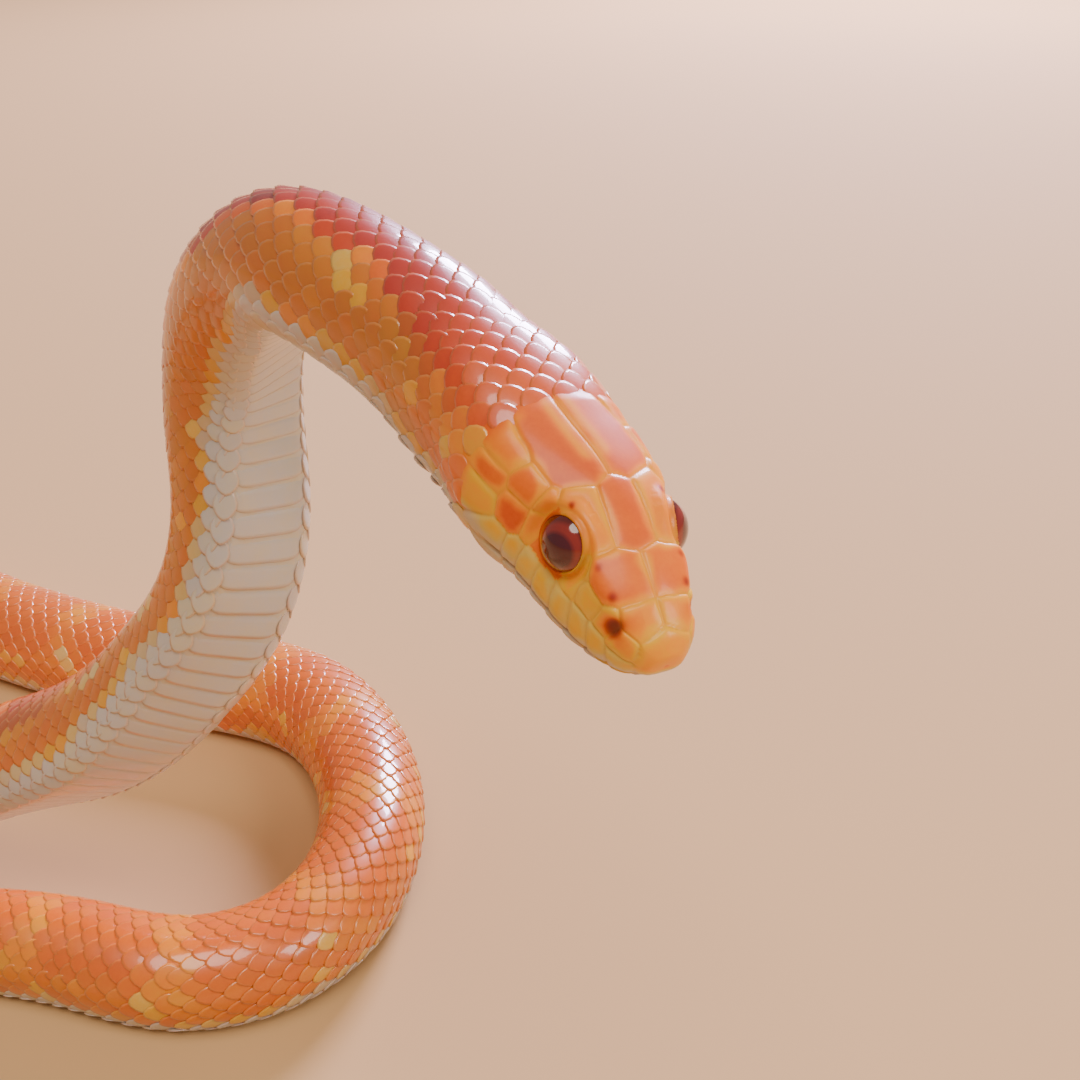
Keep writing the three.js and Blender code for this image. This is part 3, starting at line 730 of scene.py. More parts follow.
    def tint(self, s: np.ndarray, way: np.ndarray, owner: np.ndarray, seam: np.ndarray,
             height: np.ndarray, to_mouth: np.ndarray) -> np.ndarray:
        """Colour value of the shields, the pale streak and the cream lips.

        Args:
            s: distances from the snout in mm.
            way: way round from the crown in mm.
            owner: index of the shield at each place.
            seam: distance to its seam in mm.
            height: height over the axis in mm.
            to_mouth: height over the mouth line in mm.

        Returns:
            The value from 0, cream, to 1, red, before spots and nostrils.
        """
        inner = fade(*self.colour_in, seam + self.colour_wave.over(s, way))
        tint = self.margins[owner] + (self.tints[owner] - self.margins[owner]) * inner
        beside, half_width, strength = self.streak
        streak = np.exp(-(((way - beside) / half_width) ** 2))
        streak = streak * fade(*self.streak_start, s + self.streak_wave.over(s, way))
        tint = tint - strength * streak * (owner > 0)
        lip = 1 - fade(*self.lip_edge, np.abs(to_mouth) + self.lip_wave.over(s, way))
        rear_lip = fade(*self.rear_lip_from, s) * (1 - fade(*self.rear_lip_edge, to_mouth))
        pale = np.clip(np.maximum(lip * (to_mouth > 0), rear_lip), 0, 1)
        return tint + (self.lip_tint - tint) * pale * (height < self.lip_below)


@dataclass(frozen=True)
class EyeOpening:
    """The round opening of the skin over each eyeball, with its raised rim (mm)."""

    radius: float = 2.34
    under: float = 0.60
    wall: float = 0.34
    rim_rise: float = 0.24
    rim: float = 0.30
    blend: float = 1.15

    def fit(self, points: np.ndarray, eye: Eye, centre: np.ndarray, axis: np.ndarray) -> tuple:
        """Shapes the skin round one eyeball.

        Args:
            points: the skin's points, changed where they are near the eye.
            eye: the eye's sizes.
            centre: centre of the eyeball.
            axis: the way it looks.

        Returns:
            The new points, and closeness to the rim from 0 to 1, where the skin gets its painted
            shade.
        """
        arm = points - centre
        height = arm @ axis
        out = np.linalg.norm(arm - height[:, None] * axis, axis=1)
        ball = np.sqrt(np.maximum(eye.radius**2 - np.minimum(out, self.radius + self.rim) ** 2, 0))
        over = fade(self.radius - self.wall, self.radius + 0.06, out)
        hug = ball - self.under + (self.under + self.rim_rise) * over
        away = fade(self.radius + self.rim, self.radius + self.rim + self.blend, out)
        near = (height > 0.2) & (out < self.radius + self.rim + self.blend)
        moved = np.where(near, (hug - height) * (1 - away), 0)
        closeness = np.exp(-(((out - self.radius - 0.10) / 0.22) ** 2)) * near
        return points + moved[:, None] * axis, closeness


@dataclass(frozen=True)
class Markings:
    """Where the skin is red, orange, yellow or cream, by place on the body (mm and shares).

    A stripe runs down the neck and forebody, and saddles follow it, one for each 24 mm.
    """

    stripe_end: float = 84.0
    saddle: float = 24.0
    saddle_share: float = 0.70
    saddle_edge: float = 0.10
    saddle_wave: Wave = Wave(1.6, 9.0, 4.1)
    side_wave: Wave = Wave(0.035, 7.0, 1.3)
    # Half width of the red: at the neck, less behind it, then more on the body
    half_width: float = 0.31
    narrower: tuple = (0.07, 32, 55)
    wider: tuple = (0.15, 75, 110)
    edge: float = 0.02
    # Red of the back: at the forebody, less on the far body and at the nape
    back_tint: float = 0.90
    far_drop: float = 0.33
    nape_drop: tuple = (0.30, 22, 42)
    far: tuple = (120, 330)
    flank_tint: float = 0.52
    flank_wave: Wave = Wave(0.05, 5.0, 2.2)
    # Paler line round the red: its place beyond the edge, half width and strength
    rim: tuple = (0.035, 0.03, 0.11)
    gap_drop: float = 0.07
    belly_line: tuple = (0.585, 0.69)
    belly_tint: float = 0.02
    # Ochre: where the flanks begin, and how strong it is on the forebody and the far body; over the
    # far body it is painted shade that also browns the orange
    flank_line: tuple = (0.26, 0.34)
    flank_from: tuple = (20, 34)
    flank_ochre: float = 0.75
    flank_fall: tuple = (0.60, 90, 260)
    far_shade_and_ochre: tuple = (0.30, 150, 330)

    def tint(self, s: np.ndarray, g: np.ndarray, girth: np.ndarray) -> np.ndarray:
        """Colour value at each place, from 0, cream, to 1, red.

        Args:
            s: distances from the snout in mm.
            g: share of the way round.
            girth: half of the way round in mm.

        Returns:
            The colour value.
        """
        across = g * girth
        side = np.abs(g) + self.side_wave.over(s, across)
        phase = np.mod((s - self.stripe_end + self.saddle_wave.over(s, across)) / self.saddle, 1)
        saddle = fade(0, self.saddle_edge, phase)
        saddle = saddle * (1 - fade(self.saddle_share, self.saddle_share + self.saddle_edge, phase))
        stripe = 1 - fade(self.stripe_end - 4, self.stripe_end, s)
        saddle = np.maximum(stripe, saddle * fade(self.stripe_end, self.stripe_end + 3, s))
        (less, *less_at), (more, *more_at) = self.narrower, self.wider
        half_width = self.half_width - less * fade(*less_at, s) + more * fade(*more_at, s)
        on_back = 1 - fade(half_width - self.edge, half_width + self.edge, side)
        far = fade(*self.far, s)
        nape_drop, *nape = self.nape_drop
        back_tint = self.back_tint - self.far_drop * far - nape_drop * (1 - fade(*nape, s))
        beyond, rim_width, rim_drop = self.rim
        rim = np.exp(-(((side - half_width - beyond) / rim_width) ** 2))
        tint = self.flank_tint + self.flank_wave.over(s, across)
        tint = tint - rim_drop * rim * (1 - 0.7 * far) - self.gap_drop * far * on_back * (1 - saddle)
        tint = tint + (back_tint - tint) * on_back * saddle
        low = fade(*self.belly_line, side)
        return tint * (1 - low) + self.belly_tint * low

    def ochre(self, s: np.ndarray, g: np.ndarray) -> np.ndarray:
        """How far the orange turns to ochre, most on the flanks of the forebody; the share over the
        far body is painted shade.
        """
        side = np.abs(g)
        above_belly = 1 - fade(*self.belly_line, side)
        fall, *falls = self.flank_fall
        strength = self.flank_ochre - fall * fade(*falls, s)
        forebody = fade(*self.flank_line, side) * above_belly * fade(*self.flank_from, s) * strength
        # Over the far body the ochre is painted shade that also browns the orange
        body, *body_at = self.far_shade_and_ochre
        return forebody + body * fade(*body_at, s) * above_belly


def add_node(tree: bpy.types.NodeTree, kind: str, links: dict | None = None,
             **settings: object) -> bpy.types.Node:
    """Adds a node with its settings and links.

    Args:
        tree: the node tree that gets it.
        kind: the node's type name.
        links: input name or index to an output socket, or to a plain value.
        settings: attributes of the node.

    Returns:
        The new node.
    """
    node = tree.nodes.new(kind)
    for name, value in settings.items():
        setattr(node, name, value)
    for key, value in (links or {}).items():
        if isinstance(value, bpy.types.NodeSocket):
            tree.links.new(value, node.inputs[key])
        else:
            node.inputs[key].default_value = value
    return node


def read_value(tree: bpy.types.NodeTree, name: str) -> bpy.types.NodeSocket:
    """Adds a node that reads one number of the mesh by its name."""
    return add_node(tree, "ShaderNodeAttribute", attribute_name=name).outputs["Fac"]


def colour_ramp(tree: bpy.types.NodeTree, value: bpy.types.NodeSocket,
                rows: tuple) -> bpy.types.NodeSocket:
    """Adds a ramp of colours.

    Args:
        tree: the node tree that gets it.
        value: the value that it turns into a colour.
        rows: place and hex colour of each stop.

    Returns:
        The colour's socket.
    """
    ramp = add_node(tree, "ShaderNodeValToRGB", {"Fac": value})
    stops = ramp.color_ramp.elements
    for _ in rows[2:]:
        stops.new(0.5)
    for stop, (place, colour) in zip(stops, rows):
        stop.position = place
        stop.color = linear(colour)
    return ramp.outputs["Color"]


@dataclass(frozen=True)
class SkinFinish:
    """Keratin scales over living skin: smooth, glossy and a little see-through, so highlights
    are tight and the colour glows where light comes through the rims. A paler painted highlight
    is mixed in along rims and seams, and a painted shade in creases that also colours dark spots."""

    name: str
    stops: tuple = (
        (0.00, "#C2B8B0"), (0.16, "#D8C080"), (0.30, "#E8AA10"), (0.42, "#F88A00"),
        (0.54, "#EC6400"), (0.66, "#D44400"), (0.80, "#C23410"), (0.92, "#B42C20"),
        (1.00, "#6E1410"),
    )
    # Painted highlight on rims and seams, a browner orange that is partly painted shade, and painted
    # shade in creases that also colours dark spots
    painted_highlight_colour: str = "#F8A860"
    painted_highlight_share: float = 0.24
    ochre: str = "#B56C14"
    shade_and_spot_colour: str = "#5E1C10"
    roughness: float = 0.36
    mirror: float = 0.5
    coat: float = 0.75
    coat_roughness: float = 0.07
    freckle_mm: float = 0.35
    freckle_shift: float = 0.06
    cloud_mm: float = 3.0
    cloud_shift: float = 0.10
    bump: float = 0.12
    bump_mm: float = 0.05
    # Light that goes in and comes out again, reddest furthest, softens the rims
    glow: float = 0.12
    glow_mm: float = 0.6
    glow_reach: tuple = (1.0, 0.35, 0.15)

    def build(self) -> bpy.types.Material:
        """Makes the material.

        Returns:
            A material that reads the attributes for tint, the ochre mix that is partly painted shade,
            the painted highlight on rims and seams, and the darkness of painted shade and dark spots.
        """
        material = bpy.data.materials.new(self.name)
        material.use_nodes = True
        tree = material.node_tree
        tree.nodes.clear()
        out = add_node(tree, "ShaderNodeOutputMaterial")
        tint, rim, dark, ochre = (read_value(tree, name) for name in ("tint", "rim", "dark", "ochre"))
        place = add_node(tree, "ShaderNodeTexCoord").outputs["Object"]
        grain = add_node(tree, "ShaderNodeTexNoise", {
            "Vector": place, "Scale": 1 / (self.freckle_mm * MM), "Detail": 3.0}).outputs["Fac"]
        cloud = add_node(tree, "ShaderNodeTexNoise", {
            "Vector": place, "Scale": 1 / (self.cloud_mm * MM), "Detail": 2.0}).outputs["Fac"]
        moved = tint
        for noise, spread in ((cloud, self.cloud_shift), (grain, self.freckle_shift)):
            moved = add_node(tree, "ShaderNodeMath", {0: noise, 1: spread, 2: moved},
                             operation="MULTIPLY_ADD").outputs[0]
        moved = add_node(tree, "ShaderNodeMath", {
            0: moved, 1: (self.cloud_shift + self.freckle_shift) / 2},
            operation="SUBTRACT").outputs[0]
        colour = colour_ramp(tree, moved, self.stops)
        lit = add_node(tree, "ShaderNodeMath", {0: rim, 1: self.painted_highlight_share},
                       operation="MULTIPLY").outputs[0]
        # Mixes in the ochre (partly painted shade), the painted highlight of rims and seams, and the
        # painted shade of creases with the dark spots
        layers = ((ochre, self.ochre), (lit, self.painted_highlight_colour), (dark, self.shade_and_spot_colour))
        for share, over in layers:
            colour = add_node(tree, "ShaderNodeMix", {0: share, 6: colour, 7: linear(over)},
                              data_type="RGBA").outputs[2]
        bump = add_node(tree, "ShaderNodeBump", {
            "Height": grain, "Strength": self.bump, "Distance": self.bump_mm * MM}).outputs["Normal"]
        shader = add_node(tree, "ShaderNodeBsdfPrincipled", {
            "Base Color": colour, "Normal": bump, "Roughness": self.roughness, "IOR": 1.5,
            "Specular IOR Level": self.mirror, "Subsurface Weight": self.glow,
            "Subsurface Radius": self.glow_reach, "Subsurface Scale": self.glow_mm * MM,
            "Coat Weight": self.coat, "Coat Roughness": self.coat_roughness})
        tree.links.new(shader.outputs["BSDF"], out.inputs["Surface"])
        return material


# The head's large shields: smoother and drier than the scales, so that they keep a deep
# golden orange with few, small highlights.
HEAD_FINISH = SkinFinish(
    "satin_head_shields",
    stops=(
        (0.00, "#C8BEB0"), (0.16, "#E0BC58"), (0.30, "#F2B000"), (0.42, "#FF9400"),
        (0.54, "#F47000"), (0.66, "#DC4E00"), (0.80, "#C23410"), (0.92, "#B42C20"),
        (1.00, "#6E1410"),
    ),
    # Painted highlight along the seams, and painted shade in seams, mouth line, nostril and round the
    # eyes, which also colours the dark spots
    painted_highlight_colour="#FFB228", painted_highlight_share=0.36, shade_and_spot_colour="#6A2412",
    roughness=0.42, mirror=0.28, coat=0.20, coat_roughness=0.16,
)
# The scales: hard keratin polished by wear, so that each one carries its own small highlight
SCALE_FINISH = SkinFinish("glossy_keratin_scales")


@dataclass(frozen=True)
class EyeFinish:
    """A clear spectacle over an albino iris: wet and mirror-smooth, so that the dark red
    looks deep under one sharp highlight."""

    # Share of the way from the pupil's middle to the ball's side, and colour
    rings: tuple = (
        (0.0, "#4E0E1A"), (0.31, "#4E0E1A"), (0.40, "#86261E"), (0.50, "#86261E"),
        (0.60, "#5A1612"),
    )
    roughness: float = 0.12
    coat_roughness: float = 0.05

    def build(self) -> bpy.types.Material:
        """Makes the material.

        Returns:
            A material that reads the attribute ring, 0 at the pupil's middle.
        """
        material = bpy.data.materials.new("wet_red_eye")
        material.use_nodes = True
        tree = material.node_tree
        tree.nodes.clear()
        out = add_node(tree, "ShaderNodeOutputMaterial")
        colour = colour_ramp(tree, read_value(tree, "ring"), self.rings)
        shader = add_node(tree, "ShaderNodeBsdfPrincipled", {
            "Base Color": colour, "Roughness": self.roughness, "IOR": 1.38,
            "Coat Weight": 1.0, "Coat Roughness": self.coat_roughness})
        tree.links.new(shader.outputs["BSDF"], out.inputs["Surface"])
        return material


def make_mesh(name: str, points: np.ndarray, faces: list, values: dict) -> bpy.types.Object:
    """Makes a smooth-shaded mesh object in metres.

    Args:
        name: the object's name.
        points: places in mm.
        faces: index lists, or an array of quads.
        values: attribute name to one number for each point.

    Returns:
        The new object, linked to the scene.
    """
    mesh = bpy.data.meshes.new(name)
    rows = faces.tolist() if isinstance(faces, np.ndarray) else faces
    mesh.from_pydata((points * MM).tolist(), [], rows)
    for key, value in values.items():
        layer = mesh.attributes.new(key, "FLOAT", "POINT")
        layer.data.foreach_set("value", np.asarray(value, np.float32))
    mesh.shade_smooth()
    mesh.update()
    piece = bpy.data.objects.new(name, mesh)
    bpy.context.scene.collection.objects.link(piece)
    return piece


def with_tips(values: np.ndarray, snout: float, tail: float) -> np.ndarray:
    """Adds the values of the snout's tip and the tail's tip to those of the rings."""
    return np.concatenate([[snout], values, [tail]])


@dataclass
class Skin:
    """The one skin over head, body and tail, finest on the head (mm)."""

    surface: Surface
    relief: HeadRelief
    markings: Markings
    opening: EyeOpening
    head_columns: int = 288
    head_step: float = 0.15
    nape_step: float = 0.3
    body_step: float = 2.4
    # Painted shade in the crease round each eye opening
    eye_ring_shade: float = 0.35
    tip_tints: tuple = (0.55, 0.6)

    def stations(self) -> list:
        """Places of the rings, with the number of points in each."""
        places = [(s, self.head_columns) for s in (0.02, 0.06, 0.12)]
        places += [(s, self.head_columns) for s in np.arange(0.2, 24, self.head_step)]
        places += [(s, self.head_columns) for s in np.arange(24, 28, self.nape_step)]
        places += [(s, self.head_columns // 2) for s in np.arange(28.5, 32, 0.7)]
        body = np.arange(33, self.surface.route.length - 1, self.body_step)
        return places + [(s, self.head_columns // 4) for s in body]

    def build(self) -> bpy.types.Object:
        """Makes the skin's mesh with its colour values and its unwrap.

        Returns:
            The skin object.
        """
        stations = self.stations()
        s = np.concatenate([np.full(n, at) for at, n in stations])
        g = np.concatenate([np.arange(n) * 2 / n for _, n in stations])
        g = np.where(g > 1, g - 2, g)
        read = self.surface.read
        points = read(self.surface.place, s, g)
        normals = unit(read(self.surface.normal, s, g))
        relief = self.relief.shape(s, g)
        points = points + normals * relief["lift"][:, None]
        girth = self.surface.girth(s)
        body_tint = self.markings.tint(s, g, girth)
        rim, dark = relief["rim"], relief["dark"]
        eye = self.relief.eye
        form = self.relief.form
        for side in BOTH_SIDES:
            centre = eye.centre(self.surface.route, form, side)
            axis = eye.facing(self.surface.route, form, side, eye.opening_faces)
            points, close = self.opening.fit(points, eye, centre, axis)
            # Painted shade in the crease round each eye; the seams' painted highlight fades out there
            dark = np.maximum(dark, self.eye_ring_shade * close)
            rim = rim * (1 - close)
        tint = body_tint + (relief["tint"] - body_tint) * relief["on_head"]
        tip = read(self.surface.place, np.array([0.0]), np.array([0.0]))
        end = read(self.surface.place, np.array([self.surface.route.length]), np.array([0.0]))
        points = np.concatenate([tip, points, end])
        values = {
            "tint": with_tips(tint, *self.tip_tints),
            "ochre": with_tips(self.markings.ochre(s, g), 0, 0),
            "rim": with_tips(rim, 0, 0),
            "dark": with_tips(dark, 0, 0),
        }
        faces = self.faces(stations, len(points) - 1)
        piece = make_mesh("skin", points, faces, values)
        along = with_tips(s, 0, self.surface.route.length)
        self.unwrap(piece.data, along, with_tips(g, 0, 0))
        return piece

    def faces(self, stations: list, last: int) -> list:
        """Quads between rings, and triangles where the count halves and at both tips."""
        faces = []
        start = 1
        first = stations[0][1]
        faces += [(0, 1 + (k + 1) % first, 1 + k) for k in range(first)]
        for (_, n), (_, m) in zip(stations, stations[1:]):
            after = start + n
            for k in range(m):
                k2 = (k + 1) % m
                if n == m:
                    faces.append((start + k, start + k2, after + k2, after + k))
                else:
                    a, b, c = 2 * k, 2 * k + 1, (2 * k + 2) % n
                    faces.append((start + a, start + b, after + k))
                    faces.append((start + b, start + c, after + k2, after + k))
            start = after
        n = stations[-1][1]
        faces += [(start + k, start + (k + 1) % n, last) for k in range(n)]
        return faces

    def unwrap(self, mesh: bpy.types.Mesh, s: np.ndarray, g: np.ndarray) -> None:
        """Lays the skin out by place along and round the body, with more room for the head."""
        along = unwrap_along(s, self.surface.route.length)
        index = np.empty(len(mesh.loops), np.int32)
        mesh.loops.foreach_get("vertex_index", index)
        starts = np.empty(len(mesh.polygons), np.int32)
        totals = np.empty(len(mesh.polygons), np.int32)
        mesh.polygons.foreach_get("loop_start", starts)
        mesh.polygons.foreach_get("loop_total", totals)
        across = g[index] / 2 + 0.5
        owner = np.repeat(np.arange(len(starts)), totals)
        highest = np.zeros(len(starts))
        np.maximum.at(highest, owner, across)
        across = np.where((highest[owner] > 0.75) & (across < 0.25), across + 1, across)
        layer = mesh.uv_layers.new(name="OFBake")
        layout = np.column_stack([along[index], across / UV_SEAM_ROOM])
        layer.data.foreach_set("uv", layout.astype(np.float32).ravel())


@dataclass(frozen=True)
class PlateShape:
    """One body scale: a leaf-shaped solid plate, sunk at the front and proud at the rear.

    Length and width are shares of the row's own, heights are mm at full thickness.
    """

    points: int = 14
    front: float = -0.14
    rear: float = 1.02
    half_width: float = 0.92
    squareness: float = 1.65
    sunk: float = -0.12
    tip_lift: float = 0.19
    dome: float = 0.10
    side_drop: float = 0.12
    root: float = -0.30
    inner: float = 0.80

    def build(self) -> bpy.types.Object:
        """Makes the plate that every scale repeats.

        Returns:
            An object whose mesh has the attributes rim, patch_x and patch_y.
        """
        turn = np.arange(self.points) * 2 * math.pi / self.points
        power = 2 / self.squareness
        x_round = -np.sign(np.cos(turn)) * np.abs(np.cos(turn)) ** power
        y_round = np.sign(np.sin(turn)) * np.abs(np.sin(turn)) ** power
        rings = []
        for reach, level in ((self.inner, 1.0), (1.0, 0.0), (1.0, -1.0)):
            x = (self.front + self.rear) / 2 + (self.rear - self.front) / 2 * x_round * reach
            y = self.half_width * y_round * reach
            z = self.top(x, y, reach) if level >= 0 else np.full(self.points, self.root)
            rings.append(np.column_stack([x, y, z]))
        middle = (self.front + self.rear) / 2
        top = np.array([[middle, 0, self.top(np.array([middle]), np.zeros(1), 0.0)[0]]])
        bottom = np.array([[middle, 0, self.root]])
        points = np.concatenate([top, *rings, bottom])
        n = self.points
        faces = []
        for k in range(n):
            k2 = (k + 1) % n
            faces.append((0, 1 + k2, 1 + k))
            for ring in (0, 1):
                a, b = 1 + ring * n, 1 + (ring + 1) * n
                faces.append((a + k, a + k2, b + k2, b + k))
            faces.append((1 + 2 * n + k, 1 + 2 * n + k2, 1 + 3 * n))
        # The outer rings carry the painted highlight round each plate's edge
        rim = np.concatenate([[0], np.zeros(n), np.ones(2 * n), [1]])
        plate = make_mesh("scale_plate", points, faces, {
            "rim": rim, "patch_x": points[:, 0] - middle, "patch_y": points[:, 1] / 2})
        plate.data.transform(Matrix.Scale(1 / MM, 4))
        return plate

    def top(self, x: np.ndarray, y: np.ndarray, reach: float) -> np.ndarray:
        """Height of the plate's upper face."""
        along = (x - self.front) / (self.rear - self.front)
        slope = self.sunk + (self.tip_lift - self.sunk) * along
        return slope + self.dome * (1 - reach**2) - self.side_drop * (y / self.half_width) ** 2


@dataclass
class ScaleRows:
    """The scales of back and sides, in slanting rows over the skin (mm)."""

    surface: Surface
    markings: Markings
    plate: PlateShape
    # Distance from the snout, and the distance from one scale to the next in a row
    pitch: list = field(default_factory=lambda: [
        (20, 2.0), (28, 2.4), (45, 2.75), (120, 3.0), (300, 3.4), (560, 3.7), (750, 3.5),
        (860, 3.0), (930, 2.6), (1016, 2.2),
    ])
    # Last place of each stretch, with the rows on each side of the middle row there
    stretches: tuple = (
        (110, 12), (300, 12), (480, 12), (660, 12), (800, 12), (905, 9), (970, 7), (1010, 5),
    )
    belly_edge: float = 0.765
    # Share of the way round, and the place behind the snout where scales start
    head_edge: tuple = ((0.0, 21.6), (0.3, 21.3), (0.5, 20.9), (0.68, 20.3), (0.765, 20.4))
    overlap: float = 1.16
    least_length: float = 0.66
    most_length: float = 1.06
    width_share: float = 0.98
    first_row: float = 19.0
    # Gap between rows at which a plate has its full thickness, and the least and most of it
    full_gap: float = 2.0
    thickness: tuple = (0.45, 1.0)
    # Rise of the skin over one scale, in mm, between which it counts as hollow
    hollow: tuple = (0.0, 0.15)
    tint_scatter: float = 0.018
    # Yellow scales on the flanks: where, how many of them, how much paler, and their ochre
    spot_line: tuple = (0.30, 0.6)
    spot_share: float = 0.08
    spot_drop: float = 0.20
    spot_ochre: float = 0.15
    ochre_scatter: tuple = (0.8, 1.1)

    def lattice(self) -> list:
        """Finds the roots of all scales.

        Returns:
            One table for each stretch, with rows of place, share round and rows a side.
        """
        tables = [[] for _ in self.stretches]
        places, steps = zip(*self.pitch)
        edge_share, edge_place = zip(*self.head_edge)
        s, count, piece = self.first_row, 0, 0
        while s < self.stretches[-1][0]:
            while s > self.stretches[piece][0]:
                piece += 1
            rows = self.stretches[piece][1]
            for j in range(-rows, rows + 1):
                share = self.belly_edge * j / rows
                if (j + count) % 2 == 0 and s > np.interp(abs(share), edge_share, edge_place):
                    tables[piece].append((s, share, rows))
            s += np.interp(s, places, steps) / 2
            count += 1
        return [np.array(table) for table in tables]

    def build(self, finish: bpy.types.Material) -> list:
        """Makes every stretch of scales.

        Args:
            finish: the material of the scales.

        Returns:
            One object for each stretch.
        """
        plate = self.plate.build()
        tree = scatter_tree("scale_rows", plate, finish)
        pieces = []
        for k, table in enumerate(self.lattice()):
            pieces.append(self.stretch(f"back_scales_{k + 1}", table, tree))
        bpy.data.objects.remove(plate)
        return pieces

    def stretch(self, name: str, table: np.ndarray, tree: bpy.types.NodeTree) -> bpy.types.Object:
        """Makes one stretch of scales.

        Args:
            name: the piece's name.
            table: roots of its scales.
            tree: the scatter tree.

        Returns:
            The finished piece.
        """
        s, g, rows = table.T
        chance = np.random.default_rng(SEED + int(s[0]))
        read = self.surface.read
        places = read(self.surface.place, s, g)
        rear = unit(read(self.surface.rear, s, g))
        normal = unit(read(self.surface.normal, s, g))
        girth = self.surface.girth(s)
        pitch = np.interp(s, *zip(*self.pitch))
        # In the hollow of a bend a scale lies along the chord, so that its tip isn't buried
        next_place = np.minimum(s + pitch, self.surface.route.length)
        chord = read(self.surface.place, next_place, g) - places
        reach = np.linalg.norm(chord, axis=1)
        hollow = fade(*self.hollow, np.sum(chord * normal, axis=1))[:, None]
        rear = unit(rear + (unit(chord) - rear) * hollow)
        across = unit(np.cross(normal, rear))
        normal = np.cross(rear, across)
        row_gap = self.belly_edge * girth / rows
        thick = np.clip(row_gap / self.full_gap, *self.thickness)
        axes = zip(rear, across, normal)
        turns = [tuple(Matrix(np.column_stack(three).tolist()).to_euler()) for three in axes]
        tint = self.markings.tint(s, g, girth) + chance.normal(0, self.tint_scatter, len(s))
        low, high = self.spot_line
        spotted = (np.abs(g) > low) & (np.abs(g) < high)
        spotted = spotted & (chance.random(len(s)) < self.spot_share)
        tint = np.where(spotted, tint - self.spot_drop, tint)
        # Ochre mix: own ochre on the forebody's flanks, painted shade over the far body
        ochre = self.markings.ochre(s, g) * chance.uniform(*self.ochre_scatter, len(s))
        ochre = np.where(spotted, self.spot_ochre, ochre)
        length = np.clip(reach, self.least_length * pitch, self.most_length * pitch) * self.overlap
        size = np.column_stack([length, row_gap * self.width_share, thick]) * MM
        piece = make_mesh(name, places, [], {"tint": tint, "ochre": ochre, "along": s, "share": g})
        for key, vectors in (("turn", turns), ("size", size)):
            layer = piece.data.attributes.new(key, "FLOAT_VECTOR", "POINT")
            layer.data.foreach_set("vector", np.asarray(vectors, np.float32).ravel())
        settle(piece, tree, {"Width": 1.0})
        press_flat(piece.data)
        lay_patches(piece, self.surface.route.length)
        return piece


def scatter_tree(name: str, plate: bpy.types.Object,
                 finish: bpy.types.Material) -> bpy.types.NodeTree:
    """Builds the Geometry Nodes tree that puts one plate on every root.

    Args:
        name: the tree's name.
        plate: the plate that is repeated.
        finish: its material.

    Returns:
        The tree, with the named input Width, a factor on every plate's width.
    """
    tree = bpy.data.node_groups.new(name, "GeometryNodeTree")
    tree.interface.new_socket("Geometry", in_out="INPUT", socket_type="NodeSocketGeometry")
    tree.interface.new_socket("Width", in_out="INPUT", socket_type="NodeSocketFloat")
    tree.interface.new_socket("Geometry", in_out="OUTPUT", socket_type="NodeSocketGeometry")
    inputs = add_node(tree, "NodeGroupInput").outputs
    turn, size = (
        add_node(tree, "GeometryNodeInputNamedAttribute", {"Name": key}, data_type="FLOAT_VECTOR")
        for key in ("turn", "size")
    )
    widen = add_node(tree, "ShaderNodeCombineXYZ", {"X": 1.0, "Y": inputs["Width"], "Z": 1.0})
    sized = add_node(tree, "ShaderNodeVectorMath", {
        0: size.outputs["Attribute"], 1: widen.outputs["Vector"]}, operation="MULTIPLY")
    turned = add_node(tree, "FunctionNodeEulerToRotation", {"Euler": turn.outputs["Attribute"]})
    shape = add_node(tree, "GeometryNodeObjectInfo", {"Object": plate})
    laid = add_node(tree, "GeometryNodeInstanceOnPoints", {
        "Points": inputs["Geometry"], "Instance": shape.outputs["Geometry"],
        "Rotation": turned.outputs["Rotation"], "Scale": sized.outputs["Vector"]})
    real = add_node(tree, "GeometryNodeRealizeInstances", {"Geometry": laid.outputs["Instances"]})
    dressed = add_node(tree, "GeometryNodeSetMaterial", {
        "Geometry": real.outputs["Geometry"], "Material": finish})
    add_node(tree, "NodeGroupOutput", {"Geometry": dressed.outputs["Geometry"]})
    return tree


def settle(piece: bpy.types.Object, tree: bpy.types.NodeTree, values: dict) -> None:
    """Runs a Geometry Nodes tree on a piece and keeps the result as a plain mesh.

    Args:
        piece: the object whose mesh the tree starts from.
        tree: the tree.
        values: input name to value.
    """
    modifier = piece.modifiers.new(tree.name, "NODES")
    modifier.node_group = tree
    for item in tree.interface.items_tree:
        if item.in_out == "INPUT" and item.name in values:
            modifier[item.identifier] = values[item.name]
    graph = bpy.context.evaluated_depsgraph_get()
    start = piece.data
    result = bpy.data.meshes.new_from_object(piece.evaluated_get(graph))
    piece.modifiers.clear()
    piece.data = result
    result.name = piece.name
    bpy.data.meshes.remove(start)


def press_flat(mesh: bpy.types.Mesh) -> None:
    """Presses what would reach under the floor flat on it, as the animal's weight does."""
    places = np.empty(len(mesh.vertices) * 3, np.float32)
    mesh.vertices.foreach_get("co", places)
    places[2::3] = np.maximum(places[2::3], FLOOR_GAP * MM)
    mesh.vertices.foreach_set("co", places)
    mesh.update()


def unwrap_along(s: np.ndarray, length: float) -> np.ndarray:
    """Place along the unwrap, with more room for the head."""
    head_end, head_room = HEAD_ROOM
    body = head_room + (1 - head_room) * (s - head_end) / (length - head_end)
    return np.where(s < head_end, head_room * s / head_end, body)


